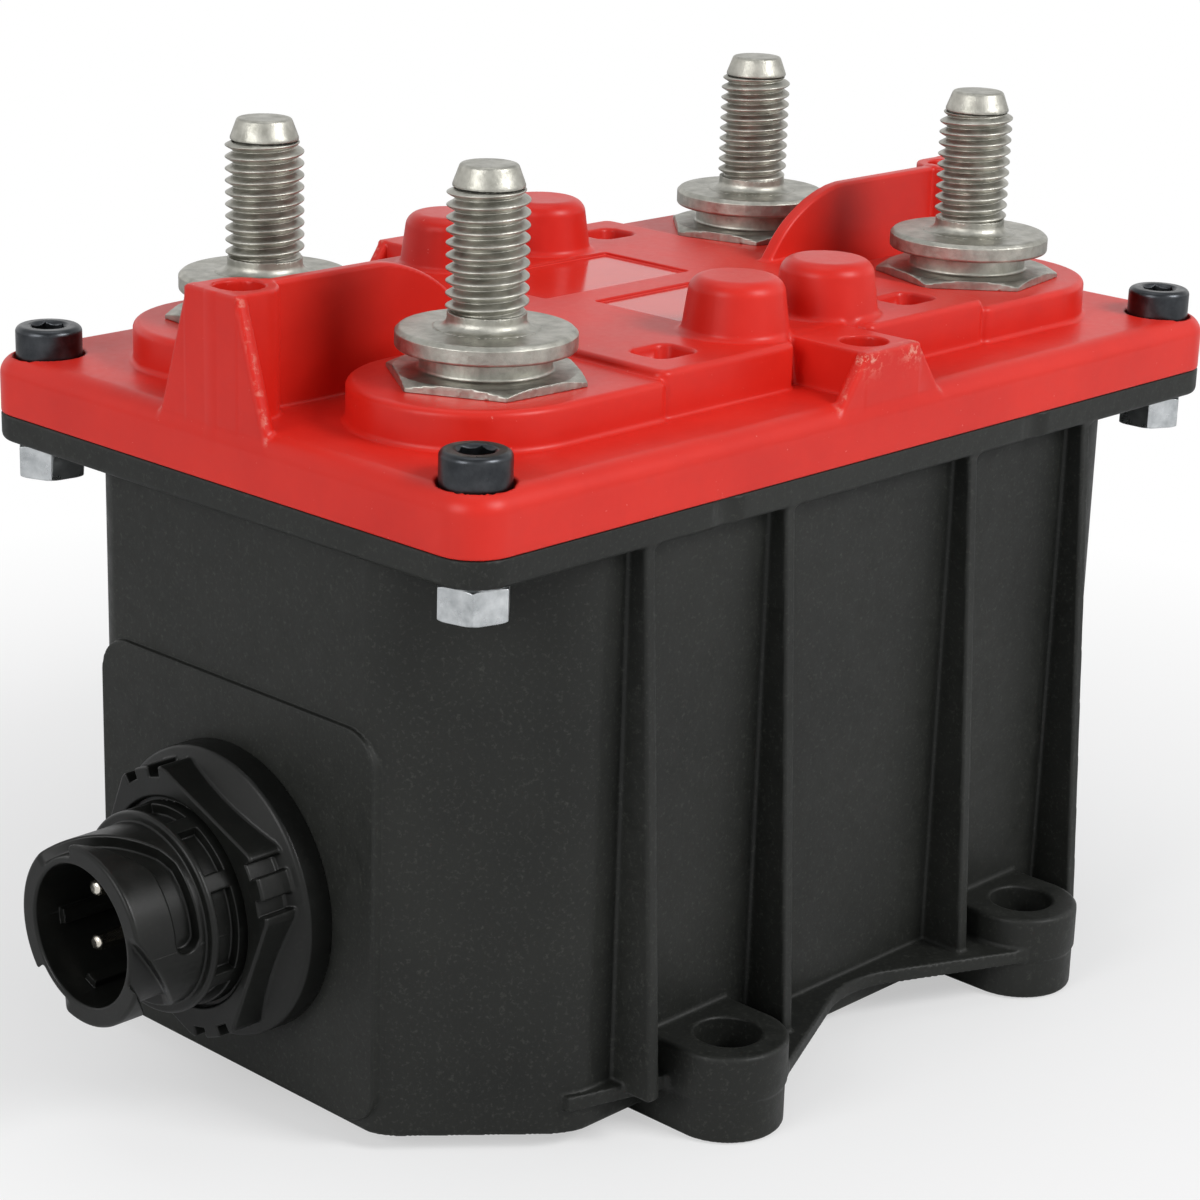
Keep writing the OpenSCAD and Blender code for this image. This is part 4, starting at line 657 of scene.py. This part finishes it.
def shell_field(p):
    x, y, z = p.T
    t = x - MOUTH_X
    r = np.hypot(y, z - AXIS_Z)
    a = np.degrees(np.arctan2(z - AXIS_Z, -y))
    d = edge(r - MOUTH_R, -t, 0.5)
    barrel = edge(r - BARREL_R, 10.1 - t, 0.5)
    ribs = np.full(len(p), 9.0)
    for at in WINDOW_RIBS:
        ribs = np.minimum(ribs, (angle_gap(a, at) - 5) * 0.2)
    window = np.maximum(np.maximum(slab(t, 11.0, 13.9), -ribs), 10.2 - r)
    barrel = edge(barrel, -window, 0.15)
    d = fillet(d, np.maximum(barrel, t - 30), 0.25)
    for start in GROOVE_STARTS:
        # s is the way round from the groove's start, as a length on the barrel
        s = (start - a + 180) % 360 - 180
        s = np.where(s < -60, s + 360, s) * 0.199
        groove = np.minimum(segment(s, t, -6, -3.6, 11.3, 6.8), segment(s, t, 13.3, 7.4, 22.4, 7.4))
        groove = np.minimum(groove, segment(s, t, 11.3, 6.8, 13.3, 7.4))
        d = edge(d, -edge(groove - 1.72, 9.75 - r, 0.3), 0.3)
    d = edge(d, -np.maximum(r - BORE_R, t - BORE_DEPTH), 0.4)
    for at in KEYS:
        key = np.maximum((angle_gap(a, at) - 6.5) * 0.155, KEY_R - r)
        key = np.maximum(key, np.maximum(3.6 - t, t - 14.5))
        d = np.minimum(d, np.maximum(key, r - 9.2))
    d = np.minimum(d, edge(r - FLANGE_R, slab(t, 24.7, 27.2), 0.3))
    d = np.minimum(d, np.maximum(r - THREAD_R, slab(t, 15.5, 26)))
    return np.maximum(d, t - 31)


mesh, _ = carve("connector_body", shell_field, (-94, -18, 9), (-60, 18, 46), 0.2, 0.25)
shell = add("connector_body", mesh, connector_black)
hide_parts("connector_shell")

NUT_FRONT_X, NUT_REAR_X, LEDGE_X = -78.35, -69.4, -73.9
NUT_AF, NUT_R, LEDGE_R, NUT_HOLE_R, NUT_TURN = 29.6, 17.2, 18.6, 13.3, 68


def nut_field(p):
    """A ring nut with four flats on a round ledge, and two slots at each of its corners."""
    x, y, z = p.T
    r = np.hypot(y, z - AXIS_Z)
    a = np.arctan2(z - AXIS_Z, -y)
    turned = a - math.radians(NUT_TURN)
    square = np.maximum(np.abs(r * np.cos(turned)), np.abs(r * np.sin(turned))) - NUT_AF / 2
    body = edge(edge(square, r - NUT_R, 0.25), NUT_FRONT_X - x, 0.35)
    four = 4 * (a - math.radians(NUT_TURN - 45))
    corner = np.degrees(np.arctan2(np.sin(four), np.cos(four))) / 4
    slot = np.maximum((np.abs(np.abs(corner) - 8.2) - 3.4) * 0.29, 15.9 - r)
    body = edge(body, -np.maximum(slot, x + 73.3), 0.25)
    ledge = edge(r - LEDGE_R, (LEDGE_X - x) * 0.92 + (r - 16.5) * 0.38, 0.4)
    d = np.maximum(fillet(body, ledge, 0.3), x - NUT_REAR_X)
    return edge(d, NUT_HOLE_R - r, 0.4)


mesh, _ = carve("connector_ring_nut", nut_field, (-79.5, -20, 7), (-68.5, 20, 48), 0.22, 0.25)
ring_nut = add("connector_ring_nut", mesh, connector_black)
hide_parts("connector_nut")


# Studs

HEX_AF, HEX_Z = 21.9, 93.7
COLLAR_R, DISC_R, DISC_LOW_Z, DISC_HIGH_Z = 7.95, 10.9, 96.2, 98.6
NECK_R, CORE_R, SHANK_R = 4.75, 3.9, 6
TIP_R, TIP_LOW_Z, TIP_Z = 4.3, 115.6, 118


def hexagon(x, y, af):
    d = np.abs(x)
    for k in (1, 2):
        a = math.radians(60 * k)
        d = np.maximum(d, np.abs(x * math.cos(a) + y * math.sin(a)))
    return d - af / 2


def wobble(x, y, z, scale, seed):
    """A smooth small unevenness between minus 1 and 1, the same every run."""
    rng = np.random.default_rng(seed)
    total = 0
    for _ in range(6):
        k = rng.normal(size=3) * scale
        total = total + np.sin(k[0] * x + k[1] * y + k[2] * z + rng.uniform(0, 6.28))
    return total / 6


def stud_field(p):
    """A stud without its thread, standing on the origin."""
    x, y, z = p.T
    r = np.hypot(x, y)
    rough = wobble(x, y, z, 2.2, 3) * 0.05
    hexa = hexagon(x, y, HEX_AF) + rough * np.clip(94 - z, 0, 1)
    cone = (r - 11.1 - (HEX_Z - z) * 2.4) * 0.385
    hexa = np.maximum(np.maximum(hexa, cone), np.maximum(z - HEX_Z, PAD_Z - z))
    collar = np.maximum(r - COLLAR_R, slab(z, 92.6, 96.7))
    d = fillet(hexa, collar, 0.4)
    disc = edge(r - DISC_R, DISC_LOW_Z - z, 0.35)
    disc = np.maximum(disc, ((r - DISC_R) + (z - 98.1)) * 0.7071)
    disc = edge(disc, z - DISC_HIGH_Z, 0.15)
    d = fillet(d, disc, 0.2)
    step = edge(r - 6.4, z - 98.7, 0.08)
    d = np.minimum(d, np.maximum(step, 98 - z))
    d = fillet(d, np.maximum(r - NECK_R, slab(z, 98, 100.5)), 1.1)
    d = np.minimum(d, np.maximum(r - SHANK_R, slab(z, 73.0, 92.6)))
    tip = edge((r - TIP_R + np.maximum(z - TIP_LOW_Z, 0) * 0.37) * 0.94, z - TIP_Z, 0.3)
    tip = np.maximum(tip, 115.3 - z)
    core = np.maximum(r - CORE_R, slab(z, 99, 116))
    return np.minimum(d, fillet(core, tip, 0.15))


stud_mesh, _ = carve("stud_base", stud_field, (-13, -13, 72.5), (13, 13, 118.5), 0.2, 0.22)

# Rolled thread: each row of the profile is a share of the pitch and a radius. Rows follow the
# helix, and both ends fade to the root.
PITCH, THREAD_LOW_Z, THREAD_HIGH_Z, ROOT_R = 1.5, 100.0, 115.1, 4.1
PROFILE = [(0.00, 4.97), (0.06, 4.94), (0.12, 4.84), (0.22, 4.60), (0.32, 4.33), (0.41, 4.09), (0.46, 3.99),
           (0.50, 3.96), (0.54, 3.99), (0.59, 4.09), (0.68, 4.33), (0.78, 4.60), (0.88, 4.84), (0.94, 4.94)]
AROUND = 72
turns = int((THREAD_HIGH_Z - THREAD_LOW_Z) / PITCH) + 3
rows = [((turn - 1 + share) * PITCH, radius) for turn in range(turns) for share, radius in PROFILE]
lift = PITCH * np.arange(AROUND + 1)[None, :] / AROUND
grid_z = np.array([r[0] for r in rows])[:, None] + lift + THREAD_LOW_Z
grid_r = np.repeat(np.array([r[1] for r in rows])[:, None], AROUND + 1, 1)
fade = np.clip((grid_z - THREAD_LOW_Z) / 1.0, 0, 1) * np.clip((THREAD_HIGH_Z + 0.2 - grid_z) / 0.7, 0, 1)
grid_r = ROOT_R + (grid_r - ROOT_R) * fade ** 0.6
grid_z = np.clip(grid_z, THREAD_LOW_Z, THREAD_HIGH_Z)
theta = 2 * np.pi * np.arange(AROUND + 1) / AROUND
verts = np.stack([grid_r * np.cos(theta), grid_r * np.sin(theta), grid_z], 2).reshape(-1, 3)
index = np.arange(len(rows) * (AROUND + 1)).reshape(len(rows), AROUND + 1)
quads = np.stack([index[:-1, :-1], index[:-1, 1:], index[1:, 1:], index[1:, :-1]], 2).reshape(-1, 4)
thread_mesh = mesh_of("stud_thread", verts, quads)

WELD = 0.000004
bm = bmesh.new()
bm.from_mesh(thread_mesh)
bmesh.ops.remove_doubles(bm, verts=bm.verts, dist=WELD)
bmesh.ops.dissolve_degenerate(bm, dist=WELD, edges=bm.edges)
bmesh.ops.recalc_face_normals(bm, faces=bm.faces)
for face in bm.faces:
    face.smooth = True
bm.to_mesh(thread_mesh)
bm.free()

for name, sx, sy, turn in (("front_left", -1, -1, -3), ("front_right", 1, -1, 11),
                           ("rear_left", -1, 1, 24), ("rear_right", 1, 1, -14)):
    at = (STUD_X * sx, STUD_Y * sy, 0)
    base = add("stud_" + name + "_base", stud_mesh, stud_metal, at=at, turn=turn + 30)
    add("stud_" + name + "_thread", thread_mesh, stud_metal, at=at, turn=40 * turn)
    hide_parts("stud_" + name)


# Lid screws, nuts and washers

HEAD_R, HEAD_Z, SCREW_R = 4.2, 91.1, 2.5
NUT_LOW_Z, NUT_HIGH_Z = 71.7, 75.9


def screw_field(p):
    x, y, z = p.T
    r = np.hypot(x, y)
    head = edge(r - HEAD_R, z - HEAD_Z, 0.8)
    head = edge(head, COUNTERBORE_Z - z, 0.1)
    socket = np.maximum(hexagon(x, y, 4.0), 88.5 - z)
    mouth = (r - 2.45 + (HEAD_Z - z) * 1.0) * 0.7071
    head = edge(head, -np.minimum(socket, np.maximum(mouth, 90.2 - z)), 0.15)
    return np.minimum(head, np.maximum(r - SCREW_R, slab(z, 71.5, 86.2)))


def hex_nut_field(p):
    x, y, z = p.T
    r = np.hypot(x, y)
    cone = np.maximum(r - 4.25 + (z - NUT_HIGH_Z) * 1.7, r - 4.25 - (z - NUT_LOW_Z) * 1.7) * 0.5
    d = edge(edge(hexagon(x, y, 8), cone, 0.1), slab(z, NUT_LOW_Z, NUT_HIGH_Z), 0.1)
    return edge(d, 2.55 - r, 0.25)


def washer_field(p):
    x, y, z = p.T
    r = np.hypot(x, y)
    return edge(np.maximum(r - 4.2, 2.6 - r), slab(z, NUT_HIGH_Z, FLANGE_Z), 0.12)


screw_mesh, _ = carve("cap_screw", screw_field, (-5, -5, 71), (5, 5, 92), 0.15, 0.3)
nut_mesh, _ = carve("hex_nut", hex_nut_field, (-5.5, -5.5, 71), (5.5, 5.5, 76.6), 0.14, 0.3)
washer_mesh, _ = carve("flat_washer", washer_field, (-5, -5, 75.6), (5, 5, 76.8), 0.12, 0.3)
screws, nuts, washers = [], [], []
for i, (sx, sy) in enumerate(((-1, -1), (1, -1), (-1, 1), (1, 1))):
    at = (SCREW_X * sx, SCREW_Y * sy, 0)
    screws.append(add(f"cap_screw_{i + 1}", screw_mesh, black_steel, at=at, turn=17 * i))
    nuts.append(add(f"hex_nut_{i + 1}", nut_mesh, zinc_steel, at=at, turn=(14, 3, 22, 9)[i]))
    washers.append(add(f"flat_washer_{i + 1}", washer_mesh, zinc_steel, at=at))
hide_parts("lid_screws")
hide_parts("lid_nuts")
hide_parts("lid_nut_washers")


# Contact pins

PIN_R, PIN_TIP_X, PIN_END_X, PIN_OFFSET = 1.1, -88.15, -58, 3.6


def pin_field(p):
    x, y, z = p.T
    return edge(edge(np.hypot(y, z) - PIN_R, PIN_TIP_X - x, 0.7), x - PIN_END_X, 0.1)


pin_mesh, _ = carve("contact_pin", pin_field, (-89, -1.6, -1.6), (-57, 1.6, 1.6), 0.12, 0.3)
for i, (sy, sz) in enumerate(((-1, -1), (1, -1), (-1, 1), (1, 1))):
    at = (0, PIN_OFFSET * sy, AXIS_Z + PIN_OFFSET * sz)
    add(f"contact_pin_{i + 1}", pin_mesh, pin_metal, at=at)
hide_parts("connector_pins")


# Floor, background and lights

FLOOR_REACH, FLOOR_DROP = 4.0, 0.0001
FLOOR_COLOUR, FLOOR_LIGHT_COLOUR = (0.88, 0.88, 0.88), (0.8888, 0.8888, 0.8888)


def floor_material():
    """A pale floor that the camera sees go to plain white away from the object."""
    n = Nodes("pale_floor")
    mottle = n.ramp(n.noise(3, 2, 0.5), [(0.4, 0.0), (0.6, 1.0)])
    n.to("Base Color", n.mix(mottle, FLOOR_COLOUR, FLOOR_LIGHT_COLOUR))
    n.set(Roughness=0.9, Specular_IOR_Level=0.1)
    away = n.node("ShaderNodeVectorMath", operation="LENGTH")
    n.link(n.coord, away.inputs[0])
    white = n.ramp(away.outputs["Value"], [(0.06, 0.5), (0.22, 1.0)])
    seen = n.math("MULTIPLY", white, n.node("ShaderNodeLightPath").outputs["Is Camera Ray"])
    mixed = n.node("ShaderNodeMixShader")
    n.link(seen, mixed.inputs[0])
    n.link(n.shader.outputs[0], mixed.inputs[1])
    n.link(n.node("ShaderNodeEmission").outputs[0], mixed.inputs[2])
    n.link(mixed.outputs[0], n.tree.get_output_node("ALL").inputs[0])
    return n.material


s = FLOOR_REACH
floor_mesh = bpy.data.meshes.new("floor")
floor_mesh.from_pydata([(-s, -s, 0), (s, -s, 0), (s, s, 0), (-s, s, 0)], [], [(0, 1, 2, 3)])
floor_mesh.materials.append(floor_material())
floor = bpy.data.objects.new("floor", floor_mesh)
floor.location.z = -FLOOR_DROP
bpy.context.scene.collection.objects.link(floor)

# The world lights the scene softly. Camera, glossy and transmission rays see it white at the
# horizon and greyer overhead.
world = bpy.data.worlds.new("studio")
bpy.context.scene.world = world
world.use_nodes = True
tree = world.node_tree
tree.nodes.clear()
link = tree.links.new
out = tree.nodes.new("ShaderNodeOutputWorld")
lit = tree.nodes.new("ShaderNodeBackground")
lit.inputs[0].default_value = (0.93, 0.96, 1.0, 1)
lit.inputs[1].default_value = 0.24
seen = tree.nodes.new("ShaderNodeBackground")
seen.inputs[1].default_value = 1.0
sky = tree.nodes.new("ShaderNodeTexCoord")
height = tree.nodes.new("ShaderNodeSeparateXYZ")
fall = tree.nodes.new("ShaderNodeValToRGB")
fall.color_ramp.elements[0].position = 0.30
fall.color_ramp.elements[0].color = (1, 1, 1, 1)
fall.color_ramp.elements[1].position = 0.95
fall.color_ramp.elements[1].color = (0.42, 0.43, 0.44, 1)
link(sky.outputs["Generated"], height.inputs[0])
link(height.outputs["Z"], fall.inputs[0])
link(fall.outputs[0], seen.inputs[0])
path = tree.nodes.new("ShaderNodeLightPath")
direct = path.outputs["Is Camera Ray"]
for ray in ("Is Glossy Ray", "Is Transmission Ray"):
    either = tree.nodes.new("ShaderNodeMath")
    either.operation = "MAXIMUM"
    link(direct, either.inputs[0])
    link(path.outputs[ray], either.inputs[1])
    direct = either.outputs[0]
switch = tree.nodes.new("ShaderNodeMixShader")
link(direct, switch.inputs[0])
link(lit.outputs[0], switch.inputs[1])
link(seen.outputs[0], switch.inputs[2])
link(switch.outputs[0], out.inputs[0])

LAMP_TARGET = (0, 0, 0.05)


def lamp(name, at, side, power):
    """A square lamp that faces the switch, in metres and watts."""
    data = bpy.data.lights.new(name, "AREA")
    data.shape = "RECTANGLE"
    data.size = side
    data.size_y = side
    data.energy = power
    ob = bpy.data.objects.new(name, data)
    ob.location = at
    ob.rotation_euler = (Vector(LAMP_TARGET) - Vector(at)).to_track_quat("-Z", "Y").to_euler()
    bpy.context.scene.collection.objects.link(ob)


lamp("key", (0.25, -0.85, 0.75), 0.4, 7.5)
lamp("fill", (-0.95, -0.05, 0.5), 0.5, 4.0)
lamp("top", (0.05, 0.15, 0.95), 0.6, 1.2)
